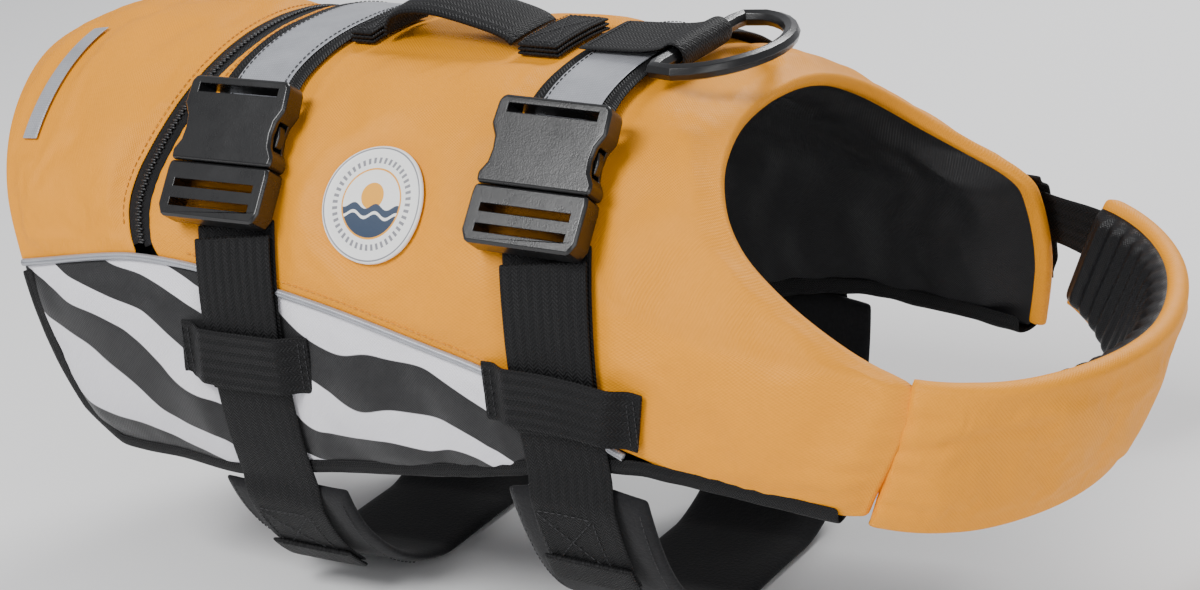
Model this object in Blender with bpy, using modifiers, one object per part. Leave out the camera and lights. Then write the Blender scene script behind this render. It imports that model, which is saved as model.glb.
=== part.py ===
"""Buoyancy vest for a dog: padded shell, two girth straps, chest band, zip, handle and lead ring.

Metres, +Z up, the head end towards +X. The origin is on the floor under the front girth strap.
Most pieces are laid on one surface, the hull, by distance along X, angle from the top and offset.
"""

import math

import bmesh
import bpy
import numpy as np
from mathutils import Matrix, Vector

# Driving sizes
WEB = 0.038            # width of the girth webbing
WEB_T = 0.0018         # its thickness
SKIN = 0.0012          # outer cover cloth
FOAM = 0.012           # buoyancy foam
GAP = 0.0005           # between neighbouring layers
LOOSE = 0.0008         # between the foam and the cloth over it
FRONT_X = 0.0          # centre of the front girth strap
REAR_X = -0.146        # centre of the rear girth strap
ZIP_END = 69.0         # degrees from the top where the zip ends
ZIP_PARK = 50.0        # where its slider is parked, on the left
PAD = 0.064            # width of a belly pad
PILE = 0.0105          # foam of the chest band
EDGE_T = 0.0020        # a bound edge, and its distance from what it binds
EDGE_GAP = 0.0009
ZIP_HALF = 0.0053      # half of the slot that the zip fills
ZIP_TOP = -0.1765      # where the zip crosses the spine
ZIP_TILT = 0.30        # how far it leans back for each metre down
ZIP_RUN = 54.0         # degrees from the top to which its path stays flat
BUCKLE_T = 0.0112
RING_R = 0.0034        # half the thickness of the lead ring
BADGE = (-0.0746, -54.0)
BADGE_R = 0.0235

# Where the joints' axes pass
ZIP_CENTRE = (-0.2073, 0.0, 0.1245)
HANDLE_AXIS = (-0.082, 0.0, 0.2265)
RING_AXIS = (0.0235, 0.0, 0.2255)
SEAM_AXIS = (0.1452, -0.0921, 0.1045)

# The hull: (x, value)
HALF_WIDTH = ((-0.31, 0.092), (-0.262, 0.098), (-0.2, 0.104), (-0.146, 0.1035), (0.0, 0.104),
              (0.08, 0.102), (0.14, 0.097), (0.17, 0.090))
TOP = ((-0.31, 0.213), (-0.25, 0.226), (-0.2, 0.227), (-0.146, 0.225), (0.0, 0.222),
       (0.03, 0.216), (0.08, 0.209), (0.17, 0.203))
MIDDLE = ((-0.31, 0.122), (-0.2, 0.123), (-0.146, 0.119), (0.0, 0.118), (0.08, 0.106), (0.17, 0.100))
POWER = ((-0.31, 2.1), (-0.205, 2.1), (-0.19, 2.1), (-0.146, 2.3), (0.0, 2.35), (0.17, 2.3))
# Seams on the hull: degrees from the top against x, the same on both sides
HEM = ((-0.235, 114.5), (-0.2173, 120.0), (-0.1736, 122.0), (-0.1088, 116.1), (-0.0335, 111.1),
       (0.0, 107.3), (0.03, 103.6), (0.045, 101.8), (0.0742, 101.0), (0.1288, 103.5))
PIPE = ((-0.262, 77.0), (-0.1886, 71.9), (-0.1623, 71.3), (-0.1221, 74.0), (-0.0931, 76.8),
        (-0.0512, 82.1), (-0.0154, 87.2), (0.03, 98.2), (0.040, 100.0))
# Across the girth straps: how far they lean forward down the right side
LEAN = ((-180, 0.004), (-150, 0.006), (-110, 0.011), (-75, 0.010), (-45, 0.003), (-25, -0.003), (0, -0.001),
        (40, 0.0), (180, 0.004))
# Edges across the hull: x against degrees from the top
TAIL = ((0, -0.290), (15, -0.2865), (30, -0.281), (45, -0.2750), (60, -0.267), (74, -0.257), (98, -0.2435),
        (120, -0.229))
NECK = ((0, 0.055), (14, 0.0562), (29, 0.0605), (40.6, 0.0685), (49, 0.0794), (56.3, 0.0963),
        (63.2, 0.1172), (68.4, 0.1366), (71.3, 0.152), (103.5, 0.129))
NECK_LEFT = ((0, 0.055), (14, 0.0562), (29, 0.0605), (40.6, 0.0685), (49, 0.0794), (56.3, 0.0963),
             (62, 0.1135), (66, 0.1195), (82, 0.1215), (104, 0.116))
# Chest band against degrees from straight ahead, + on the left
BAND_START, BAND_END = -77.5, 80.0
BAND_TOP = ((-80, 0.131), (-40, 0.124), (0, 0.121), (40, 0.128), (82, 0.140))
BAND_LOW = ((-80, 0.079), (-40, 0.070), (0, 0.066), (40, 0.076), (82, 0.098))

YELLOW = (0.83, 0.42, 0.035)
BLACK = (0.018, 0.018, 0.02)
GREY = (0.42, 0.43, 0.45)


def clear():
    for obj in list(bpy.data.objects):
        bpy.data.objects.remove(obj, do_unlink=True)


def collection(name, shown=True):
    found = bpy.data.collections.new(name)
    bpy.context.scene.collection.children.link(found)
    found.hide_render = not shown
    return found


def material(name, colour, rough=0.8):
    mat = bpy.data.materials.new(name)
    mat.use_nodes = True
    shader = mat.node_tree.nodes["Principled BSDF"]
    shader.inputs["Base Color"].default_value = (*colour, 1)
    shader.inputs["Roughness"].default_value = rough
    mat.diffuse_color = (*colour, 1)
    return mat


def curve(table, at):
    """A smooth curve through the table, straight beyond its ends."""
    xs, ys = np.array(table, float).T
    rise = np.diff(ys) / np.diff(xs)
    both = rise[1:] + rise[:-1]
    inner = np.where(rise[1:] * rise[:-1] > 0, 2 * rise[1:] * rise[:-1] / np.where(both == 0, 1, both), 0)
    slopes = np.concatenate([rise[:1], inner, rise[-1:]])
    at = np.asarray(at, float)
    i = np.clip(np.searchsorted(xs, at) - 1, 0, len(xs) - 2)
    step = xs[i + 1] - xs[i]
    t = np.clip((at - xs[i]) / step, 0, 1)
    blend = (2 * t**3 - 3 * t**2 + 1) * ys[i] + (3 * t**2 - 2 * t**3) * ys[i + 1]
    return blend + step * ((t**3 - 2 * t**2 + t) * slopes[i] + (t**3 - t**2) * slopes[i + 1])


def hull(x, angle):
    """The cover's outer face: a superellipse round X, deeper below its middle, down to the floor."""
    x, angle = np.broadcast_arrays(np.asarray(x, float), np.asarray(angle, float))
    middle = curve(MIDDLE, x)
    sine, cosine = np.sin(np.radians(angle)), np.cos(np.radians(angle))
    height = np.where(cosine > 0, curve(TOP, x) - middle, middle)
    power = curve(POWER, x)
    reach = (np.abs(sine / curve(HALF_WIDTH, x)) ** power + np.abs(cosine / height) ** power) ** (-1 / power)
    return np.stack([x, reach * sine, middle + reach * cosine], -1)


def chest(angle, share):
    """The chest band's outer face, from its lower edge (0) to its upper edge (1)."""
    angle, share = np.broadcast_arrays(np.asarray(angle, float), np.asarray(share, float))
    a = np.radians(angle)
    x = (0.122 + 0.062 * np.cos(a)) * (1 - share) + (0.140 + 0.070 * np.cos(a)) * share
    y = (0.096 * (1 - share) + 0.0925 * share) * np.sin(a)
    z = curve(BAND_LOW, angle) * (1 - share) + curve(BAND_TOP, angle) * share
    return np.stack([x, y, z], -1)


def zip_line():
    """The zip's x against the angle: a leaning plane across the hull, bending forwards at its ends."""
    rows = []
    for angle in np.arange(0, 80, 6.0):
        x = ZIP_TOP
        for _ in range(20):
            x = ZIP_TOP - ZIP_TILT * (hull(ZIP_TOP, 0)[2] - hull(x, angle)[2])
        rows.append((angle, x + 4.4e-5 * max(0, angle - ZIP_RUN) ** 2))
    return tuple(rows)


def frame(surface, u, v):
    """Points, outward normals and the two unit directions of a surface."""
    hu = 0.0005 if surface is hull else 0.05
    hv = 0.05 if surface is hull else 0.005
    along = surface(u + hu, v) - surface(u - hu, v)
    across = surface(u, v + hv) - surface(u, v - hv)
    normal = np.cross(along, across)
    unit = [w / np.linalg.norm(w, axis=-1, keepdims=True) for w in (normal, along, across)]
    return surface(u, v), *unit


def offset(surface, u, v, d):
    points, normal, _, _ = frame(surface, u, v)
    return points + normal * np.asarray(d, float)[..., None]


def link(name, edit, mat, home=None):
    """A mesh object from a bmesh."""
    mesh = bpy.data.meshes.new(name)
    edit.to_mesh(mesh)
    edit.free()
    if mat:
        mesh.materials.append(mat)
    obj = bpy.data.objects.new(name, mesh)
    (home or VEST).objects.link(obj)
    return obj


def sheet(name, grid, thick, mat):
    """An open surface through a grid of points, its normals the way the grid turns, thickened inwards."""
    rows, cols = grid.shape[:2]
    edit = bmesh.new()
    bmesh.ops.create_grid(edit, x_segments=rows - 1, y_segments=cols - 1, size=1)
    for vert in edit.verts:
        i, j = (vert.co.x + 1) / 2 * (rows - 1), (vert.co.y + 1) / 2 * (cols - 1)
        vert.co = grid[round(i), round(j)]
    obj = link(name, edit, mat)
    add = obj.modifiers.new("thickness", "SOLIDIFY")
    add.thickness = thick
    add.offset = -1
    add.use_even_offset = True
    obj.data.shade_smooth()
    return obj


def slab(name, surface, u, v, inner, outer, mat, floor=None):
    """A sheet laid on a surface: u and v are grids, inner and outer its two offsets."""
    grid = offset(surface, u, v, np.full(u.shape, outer))
    if floor is not None:
        grid[..., 2] = np.maximum(grid[..., 2], floor)
    if v[0, -1] < v[0, 0]:
        grid = grid[:, ::-1]
    return sheet(name, grid, outer - inner, mat)


def patch(start, end, low, high, rows, cols, side=-1):
    """A grid on the hull between two x edges and two angle edges, each a number or a table."""
    share = np.linspace(0, 1, cols + 1)
    first, last = edge_x(start, low, high, share), edge_x(end, low, high, share)
    x = first + (last - first) * np.linspace(0, 1, rows + 1)[:, None]
    return x, side * angle_at(low, high, x, share)


def pick(edge, at):
    return curve(edge, at) if isinstance(edge, tuple) else np.full(np.shape(at), float(edge))


def angle_at(low, high, x, share):
    bottom = pick(low, x)
    return bottom + (pick(high, x) - bottom) * share


def edge_x(edge, low, high, share):
    """Where an edge given against the angle meets each line of the grid."""
    x = pick(edge, 90 * (1 - share))
    for _ in range(12):
        x = (x + pick(edge, angle_at(low, high, x, share))) / 2
    return x


def lay(name, surface, u, v, half, low, high, mat, lift=0.0):
    """Flat webbing along a path on a surface, from the offset low to high."""
    points, normal, _, _ = frame(surface, u, v)
    ahead = np.gradient(points, axis=0)
    ahead /= np.linalg.norm(ahead, axis=-1, keepdims=True)
    side = np.cross(normal, ahead)
    middle = points + normal * (high + np.broadcast_to(lift, len(points)))[:, None]
    return sheet(name, np.stack([middle - side * half, middle, middle + side * half], 1), high - low, mat)


def edging(name, surface, u, v, reach, mat):
    """A bound edge: a strip standing across the cloth and foam, just past their edge."""
    points, normal, _, _ = frame(surface, u, v)
    ahead = np.gradient(points, axis=0)
    ahead /= np.linalg.norm(ahead, axis=-1, keepdims=True)
    out = np.cross(normal, ahead) * reach
    deep = -FOAM - 2 * SKIN - 2 * LOOSE
    rows = [points + out * (EDGE_GAP + EDGE_T) + normal * d for d in (deep, deep / 2, -0.0001)]
    grid = np.stack(rows, 1)
    return sheet(name, grid if reach > 0 else grid[:, ::-1], EDGE_T, mat)


def strap(name, points, across, width, thick, mat):
    """Flat webbing along a line of points, with given width directions."""
    points = np.array(points, float)
    across = np.broadcast_to(np.array(across, float), points.shape)
    ahead = np.gradient(points, axis=0)
    out = np.cross(ahead, across)
    out /= np.linalg.norm(out, axis=-1, keepdims=True)
    grid = np.stack([points + out * thick + across * a * width / 2 for a in (-1, 0, 1)], 1)
    return sheet(name, grid, thick, mat)


def tube(name, points, radius, mat, ring=False):
    """A round tube along a line of points."""
    data = bpy.data.curves.new(name, "CURVE")
    data.dimensions = "3D"
    data.bevel_depth = radius
    data.bevel_resolution = 2 if ring else 1
    data.use_fill_caps = not ring
    spline = data.splines.new("POLY")
    spline.points.add(len(points) - 1)
    for point, place in zip(spline.points, points):
        point.co = (*place, 1)
    spline.use_cyclic_u = ring
    data.materials.append(mat)
    obj = bpy.data.objects.new(name, data)
    VEST.objects.link(obj)
    return obj


def box(name, size, at):
    """A cutter, or a block to join on: hidden, and drawn as wire."""
    edit = bmesh.new()
    bmesh.ops.create_cube(edit, size=1)
    bmesh.ops.scale(edit, vec=size, verts=edit.verts)
    bmesh.ops.translate(edit, vec=at, verts=edit.verts)
    obj = link(name, edit, None, CUTTERS)
    obj.hide_render = True
    obj.display_type = "WIRE"
    return obj


def outline(name, corners, low, high, mat, bevel=0.0, home=None):
    """A flat outline in the local XY plane raised from low to high."""
    edit = bmesh.new()
    face = edit.faces.new([edit.verts.new((x, y, low)) for x, y in corners])
    raised = bmesh.ops.extrude_face_region(edit, geom=[face])["geom"]
    tops = [v for v in raised if isinstance(v, bmesh.types.BMVert)]
    bmesh.ops.translate(edit, vec=(0, 0, high - low), verts=tops)
    bmesh.ops.recalc_face_normals(edit, faces=edit.faces)
    obj = link(name, edit, mat, home)
    if bevel:
        add = obj.modifiers.new("edge", "BEVEL")
        add.width = bevel
        add.segments = 1
        add.limit_method = "ANGLE"
    return obj


def hang(obj, name, point):
    """Parents an object to an empty on its joint's axis, leaving it where it is."""
    empty = bpy.data.objects.new(name + "_axis", None)
    VEST.objects.link(empty)
    empty.empty_display_size = 0.01
    empty.location = point
    obj.parent = empty
    obj.matrix_parent_inverse = Matrix.Translation(-Vector(point))


def combine(obj, others, operation="DIFFERENCE"):
    """Cuts others from an object, or joins them to it. They are placed in its own axes."""
    for other in others:
        other.parent = obj
        add = obj.modifiers.new(other.name, "BOOLEAN")
        add.operation = operation
        add.solver = "EXACT"
        add.object = other


def layers():
    """Lining, foam and cover of the shell, from the inside out."""
    yellow = {n: material(n, YELLOW) for n in ("cover_right", "cover_left", "rear_cover")}
    depth = -SKIN - LOOSE
    for name, side, neck in (("right", -1, NECK), ("left", 1, NECK_LEFT)):
        cover = patch(inset(ZIP, -ZIP_HALF), inset(neck, 0.0006), COVER_LOW, 0.25, 20, 16, side)
        slab("cover_" + name, hull, *cover, -SKIN, 0.0, yellow["cover_" + name])
        panel = patch(TAIL, 0.030, LOW_EDGE, PANEL_TOP, 18, 4, side)
        dark = material("side_panel_" + name, (0.05, 0.05, 0.055))
        slab("side_panel_" + name, hull, *panel, -SKIN, 0.0, dark)
        foam = patch(inset(ZIP, -ZIP_HALF), inset(neck, 0.0014), LOW_EDGE, 28.8, 12, 8, side)
        slab("foam_" + name, hull, *foam, depth - FOAM, depth, material("foam_" + name, (0.75, 0.75, 0.72)))
        back = patch(TAIL, inset(neck, 0.0020), LOW_EDGE, 0.25, 16, 10, side)
        slab("lining_" + name, hull, *back, depth - FOAM - LOOSE - SKIN, depth - FOAM - LOOSE,
             material("lining_" + name, BLACK))
    rear = two_sided(patch(TAIL, inset(ZIP, ZIP_HALF + 0.0003), REAR_LOW, 0.0, 7, 13, -1))
    slab("rear_cover", hull, *rear, -SKIN, 0.0, yellow["rear_cover"])
    rear = two_sided(patch(TAIL, inset(ZIP, ZIP_HALF), LOW_EDGE, 0.0, 5, 10, -1))
    slab("foam_rear", hull, *rear, depth - FOAM, depth, material("foam_rear", (0.75, 0.75, 0.72)))
    back = two_sided(patch(inset(ZIP, -ZIP_HALF), inset(NECK, 0.0014), 27.0, 0.0, 10, 4, -1))
    slab("foam_back", hull, *back, depth - FOAM, depth, material("foam_back", (0.75, 0.75, 0.72)))


def inset(table, by):
    return tuple((a, x - by) for a, x in table)


def two_sided(grid):
    """The right half of a grid and its mirror, joined over the top."""
    x, angle = grid
    return np.hstack([x, x[:, -2::-1]]), np.hstack([angle, -angle[:, -2::-1]])


def edges():
    """Piping along the colour change, and the bound edges."""
    for name, side in (("right", -1), ("left", 1)):
        x = np.linspace(-0.2545, 0.036, 34)
        points = offset(hull, x, side * curve(PIPE, x), np.full(34, -0.0009))
        tube("piping_" + name, points, 0.0010, material("piping_" + name, GREY, 0.4))
        x = np.linspace(0.124 if side < 0 else 0.112, -0.223, 30)
        tail = np.array([113.0, 106.0, 99.0, 92.0, 85.0, 79.5])
        path_x = np.concatenate([x, curve(TAIL, tail) - 0.0014])
        corner = 1.3 * np.clip((-0.19 - x) / 0.03, 0, 1)
        path_a = np.concatenate([curve(LOW_EDGE, x) + 0.15 + corner, tail])
        edging("hem_binding_" + name, hull, path_x, side * path_a, -side, material("hem_binding_" + name, BLACK))
    angle = np.linspace(-78.0, 78.0, 27)
    edging("rear_binding", hull, curve(TAIL, np.abs(angle)) - 0.0004, angle, 1, material("rear_binding", YELLOW))
    angle = np.concatenate([np.linspace(-70.6, -45, 14), np.linspace(-38, 38, 11), np.linspace(45, 65, 12)])
    edging("neck_binding", hull, curve(NECK, np.abs(angle)), angle, -1, material("neck_binding", YELLOW))


def zip_track():
    """Zip tapes and chain along the zip's path, then the slider and its pull."""
    angle = np.linspace(-ZIP_END, ZIP_END, 49)
    for name, side in (("front", 1), ("rear", -1)):
        lay("zip_tape_" + name, hull, curve(ZIP, np.abs(angle)) + side * 0.0033, angle, 0.0016, -0.0010, -0.0002,
            material("zip_tape_" + name, BLACK))
    angle = np.linspace(-ZIP_END, ZIP_END, 125)
    bumps = np.where(np.arange(125) % 2, 0.0005, 0.0)
    lay("zip_chain", hull, curve(ZIP, np.abs(angle)), angle, 0.0013, -0.0010, 0.0008,
        material("zip_chain", (0.03, 0.03, 0.03), 0.5), lift=bumps)
    steel = material("zip_slider", (0.02, 0.02, 0.02), 0.35)
    half = [(0.0036, -0.005), (0.0044, 0.004), (0.0015, 0.006)]
    slider = outline("zip_slider", both_halves(half), 0.0, 0.0030, steel, 0.0005)
    combine(slider, [box("zip_bridge", (0.0018, 0.0060, 0.0034), (0, 0, 0.0045))], "UNION")
    combine(slider, [box("zip_bridge_hole", (0.004, 0.0032, 0.0022), (0, 0, 0.0044))])
    half = [(0.0030, -0.0010), (0.0034, 0.004), (0.0034, 0.022), (0.0020, 0.025)]
    pull = outline("zip_pull", both_halves(half), 0.0036, 0.0046, material("zip_pull", (0.02, 0.02, 0.02), 0.35))
    combine(pull, [box("zip_pull_eye", (0.0030, 0.0040, 0.01), (0, 0.0024, 0.0041))])
    at = float(curve(ZIP, ZIP_PARK))
    for obj in (slider, pull):
        place(obj, 0.0026, at, ZIP_PARK)
    hang(slider, "zip_run", ZIP_CENTRE)
    hang(pull, "zip_pull_swing", pull.matrix_world @ Vector((0, -0.0003, 0.0041)))


def both_halves(half):
    return half + [(-x, y) for x, y in half[::-1]]


def place(obj, d, x, angle, turn=0.0):
    """Stands an object on the hull: its local X along the vest, its local Z outwards."""
    point, normal, along, across = (w[0] for w in frame(hull, np.array([x]), np.array([angle])))
    up = np.cross(normal, along)
    axes = Matrix((along, up, normal)).transposed().to_4x4()
    obj.matrix_world = Matrix.Translation(Vector(point + normal * d)) @ axes @ Matrix.Rotation(turn, 4, "Z")


def girth(name, x, female_end, male_end):
    """One girth strap over the back and the pad under the belly."""
    hem = float(curve(HEM, x))
    lean = lambda angle: x + curve(LEAN, angle)
    steps = np.linspace(-female_end, hem + 1.5, 34)
    lay("girth_webbing_" + name, hull, lean(steps), steps, WEB / 2, GAP, GAP + WEB_T,
        material("girth_webbing_" + name, BLACK))
    tape = np.linspace(-female_end + 4.5, 84.0, 24)
    low = 2 * GAP + WEB_T
    lay("reflective_tape_" + name, hull, lean(tape), tape, 0.013, low, low + 0.0005,
        material("reflective_tape_" + name, GREY, 0.35))
    lower = np.linspace(-hem - 1.5, -male_end, 18)
    lay("belly_webbing_" + name, hull, lean(lower), lower, WEB / 2, GAP, GAP + WEB_T,
        material("belly_webbing_" + name, BLACK))
    across = np.linspace(-PAD / 2, PAD / 2, 5)
    start = np.maximum(curve(HEM, x + across) + 3.2, hem + 3.0)[:, None]
    rise = start + (162 - start) * np.linspace(0, 1, 10)
    v = np.hstack([rise, np.tile(np.linspace(166, 194, 7), (5, 1)), 360 - rise[:, ::-1]])
    u = across[:, None] + lean(np.where(v > 180, v - 360, v))
    slab("belly_pad_" + name, hull, u, v, -0.0022, 0.0020, material("belly_pad_" + name, BLACK), floor=0.0)


def keeper(name, x, half):
    """A loop of webbing sewn across the strap, which runs under it."""
    run = np.linspace(x - half, x + half, 17)
    rise = 0.0024 * np.clip((half - 0.003 - np.abs(run - x)) / 0.006, 0, 1)
    angle = np.full(17, -90.0)
    lay("keeper_" + name, hull, run, angle, 0.0115, GAP, GAP + 0.0016, material("keeper_" + name, BLACK), lift=rise)


def buckle(name, x, angle):
    """Side-release buckle: local X across the strap, local Y up it, local Z off the vest."""
    plastic = lambda part: material("buckle_%s" % part, BLACK, 0.45)
    half = [(0.0245, 0.0), (0.025, 0.004), (0.0222, 0.0085), (0.0216, 0.0135), (0.0222, 0.0185),
            (0.0250, 0.0235), (0.0245, 0.0330), (0.0225, 0.0355)]
    socket = outline("buckle_socket_" + name, both_halves(half), 0.0, BUCKLE_T, plastic("socket_" + name), 0.0010)
    hollows = [box("cavity_" + name, (0.0396, 0.0260, 0.0056), (0, 0.0110, 0.0056)),
               box("tail_slot_" + name, (0.0390, 0.0036, 0.03), (0, 0.0303, 0.0056))]
    hollows += [box("window_%s_%d" % (name, side), (0.0120, 0.0118, 0.0056), (side * 0.0228, 0.0135, 0.0056))
                for side in (-1, 1)]
    combine(socket, hollows)
    half = [(0.0245, -0.0004), (0.0250, -0.0040), (0.0250, -0.0190), (0.0225, -0.0235)]
    plug = outline("buckle_plug_" + name, both_halves(half), 0.0, BUCKLE_T, plastic("plug_" + name), 0.0010)
    combine(plug, [box("tongue_" + name, (0.0100, 0.0230, 0.0040), (0, 0.0100, 0.0056))], "UNION")
    combine(plug, [box("ladder_%s_%d" % (name, i), (0.0390, 0.0032, 0.03), (0, y, 0.0056))
                   for i, y in enumerate((-0.0095, -0.0175))])
    for obj in (socket, plug):
        place(obj, 0.0009, x, angle)
    for side, word in ((1, "front"), (-1, "rear")):
        shape = [(0.0085, 0.0), (0.0135, 0.0), (0.0172, 0.0070), (0.0176, 0.0085), (0.0226, 0.0092),
                 (0.0232, 0.0135), (0.0222, 0.0180), (0.0176, 0.0188), (0.0130, 0.0215), (0.0100, 0.0200)]
        shape = [(side * a, b) for a, b in shape]
        part = "arm_%s_%s" % (name, word)
        arm = outline("buckle_" + part, shape, 0.0036, 0.0076, plastic(part), 0.0004)
        place(arm, 0.0009, x, angle)
        hang(arm, part, arm.matrix_world @ Vector((side * 0.0110, 0, 0.0056)))


def handle():
    """Grab handle along the spine and the folded webbing at its two sewn ends."""
    arch = [(-0.1126, 0.0030), (-0.1122, 0.0062), (-0.1090, 0.0105), (-0.1030, 0.0130), (-0.0950, 0.0138),
            (-0.0860, 0.0132), (-0.0770, 0.0115), (-0.0680, 0.0095), (-0.0600, 0.0075), (-0.0540, 0.0053),
            (-0.0510, 0.0030)]
    points = [hull(x, 0.0) + np.array([0, 0, d]) for x, d in arch]
    grip = strap("handle_webbing", points, (0, 1, 0), 0.034, 0.0022, material("handle_webbing", BLACK))
    hang(grip, "handle_rock", HANDLE_AXIS)
    for name, low, high in (("rear", -0.1270, -0.1165), ("front", -0.0465, -0.0280)):
        u, v = np.meshgrid(np.linspace(low, high, 5), np.linspace(-10, 10, 7), indexing="ij")
        slab("handle_anchor_" + name, hull, u, v, GAP, 0.0055, material("handle_anchor_" + name, BLACK))


def lead_ring():
    """The ring for a lead, lying forwards from its webbing tab over the front strap."""
    x, y, z = RING_AXIS
    bar = 0.0290
    turns = np.radians(np.linspace(90, -90, 17))
    arc = [(x + 0.005 + 0.031 * math.cos(t), 0.0375 * math.sin(t), z) for t in turns]
    ends = [(x + 0.0018, bar + 0.0062, z), (x + 0.0018, -bar - 0.0062, z)]
    points = [(x, -bar, z), (x, bar, z), ends[0], *arc[1:-1], ends[1]]
    ring = tube("lead_ring", points, RING_R, material("lead_ring", BLACK, 0.4), ring=True)
    hang(ring, "lead_ring_lift", RING_AXIS)
    inner = RING_R + 0.0010
    rest = float(hull(0.0, 0.0)[2]) + 2 * WEB_T + GAP
    points = [(x - a, 0.0, rest) for a in (0.043, 0.030, 0.016, 0.008)]
    turns = np.radians(np.linspace(150, -95, 12))
    points += [(x + inner * math.cos(t), 0.0, z + inner * math.sin(t)) for t in turns]
    strap("lead_ring_tab", points, (0, 1, 0), WEB, 0.0016, material("lead_ring_tab", BLACK))


def chest_band():
    """The padded band round the chest, from its seam on the right to the closure on the left."""
    u, v = np.meshgrid(np.linspace(BAND_START, BAND_END, 23), np.linspace(0, 1, 7), indexing="ij")
    few = np.meshgrid(np.linspace(BAND_START + 0.3, BAND_END - 0.3, 19), np.linspace(0.03, 0.97, 4), indexing="ij")
    deep = -SKIN - 2 * LOOSE - PILE
    made = [slab("chest_cover", chest, u, v, -SKIN, 0.0, material("chest_cover", YELLOW)),
            slab("chest_foam", chest, *few, -SKIN - LOOSE - PILE, -SKIN - LOOSE,
                 material("chest_foam", (0.75, 0.75, 0.72))),
            slab("chest_lining", chest, u, v, deep - SKIN, deep, material("chest_lining", BLACK))]
    for obj in made + [*closure()]:
        hang(obj, obj.name, SEAM_AXIS)


def closure():
    """Hook-and-loop closure on the left: a loop on the shoulder end and a strap on the band."""
    run = np.linspace(67.0, 91.0, 15)
    rise = 0.0046 * np.clip((11.5 - np.abs(run - 79.0)) / 3.0, 0, 1)
    lay("closure_loop", hull, np.full(15, 0.1100), run, 0.0090, GAP, GAP + 0.0016,
        material("closure_loop", BLACK), lift=rise)
    hull_x, turn = np.array([0.0955, 0.1030, 0.1110, 0.1180]), np.array([79.0, 74.0, 69.0, 64.0])
    _, out, _, down = frame(hull, hull_x, np.full(4, 76.0))
    _, away, _, up = frame(chest, turn, np.full(4, 0.62))
    points = np.concatenate([hull(hull_x, 76.0) + 0.0014 * out, chest(turn, 0.62) + 0.0014 * away])
    across = np.concatenate([down, -up])
    cinch = strap("cinch_strap", points, across, 0.022, 0.0014, material("cinch_strap", BLACK))
    u, v = np.meshgrid(np.linspace(32, 61, 8), np.linspace(0.30, 0.94, 4), indexing="ij")
    loop = slab("loop_patch", chest, u, v, GAP, GAP + 0.0008, material("loop_patch", BLACK))
    u, v = np.meshgrid(np.linspace(40, 61, 6), np.linspace(0.36, 0.90, 4), indexing="ij")
    hook = slab("hook_tab", chest, u, v, 2 * GAP + 0.0010, 2 * GAP + 0.0024, material("hook_tab", BLACK))
    hang(hook, "hook_tab_peel", chest(61.0, 0.63))
    return cinch, loop


def marks():
    """A plain round badge on the side and a reflective bar on the rear panel."""
    per = 1.0 / np.linalg.norm(hull(BADGE[0], BADGE[1] + 0.5) - hull(BADGE[0], BADGE[1] - 0.5))
    x, y = np.meshgrid(np.linspace(-1, 1, 9), np.linspace(-1, 1, 9), indexing="ij")
    across, up = x * np.sqrt(1 - y**2 / 2), y * np.sqrt(1 - x**2 / 2)
    slab("badge", hull, BADGE[0] + across * BADGE_R, BADGE[1] + up * BADGE_R * per, GAP, GAP + 0.0012,
         material("badge", (0.8, 0.8, 0.78), 0.5))
    u, v = np.meshgrid(np.linspace(-0.264, -0.255, 3), np.linspace(-46, -12, 10), indexing="ij")
    slab("reflective_bar", hull, u, v, GAP, GAP + 0.0005, material("reflective_bar", GREY, 0.35))


LOW_EDGE = HEM
ZIP = zip_line()
COVER_LOW = tuple((x, a - 1.3) for x, a in PIPE[:-1]) + ((0.047, 98.4), (0.056, 100.2), (0.08, 100.5), (0.135, 102.5))
PANEL_TOP = tuple((x, a + 0.8) for x, a in PIPE)
REAR_LOW = tuple((x, a - 0.8) for x, a in PIPE[:4])

clear()
VEST = collection("dog_buoyancy_vest")
CUTTERS = collection("cutters", False)
layers()
edges()
zip_track()
girth("front", FRONT_X, 36.0, 59.0)
girth("rear", REAR_X, 37.0, 60.5)
keeper("front", FRONT_X + 0.012, 0.034)
keeper("rear", REAR_X + 0.010, 0.032)
buckle("front", FRONT_X + 0.002, -49.5)
buckle("rear", REAR_X + 0.002, -50.0)
handle()
lead_ring()
chest_band()
marks()
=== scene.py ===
"""Looks of the dog's buoyancy vest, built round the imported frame.

Metres, +Z up, head end towards +X, as in the frame. The hull and chest surfaces are the frame's own,
so each piece is laid at the distance along X, the angle from the top and the offset of its CAD node.
"""

import math

import bpy
import numpy as np
from mathutils import Matrix, Vector


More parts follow.
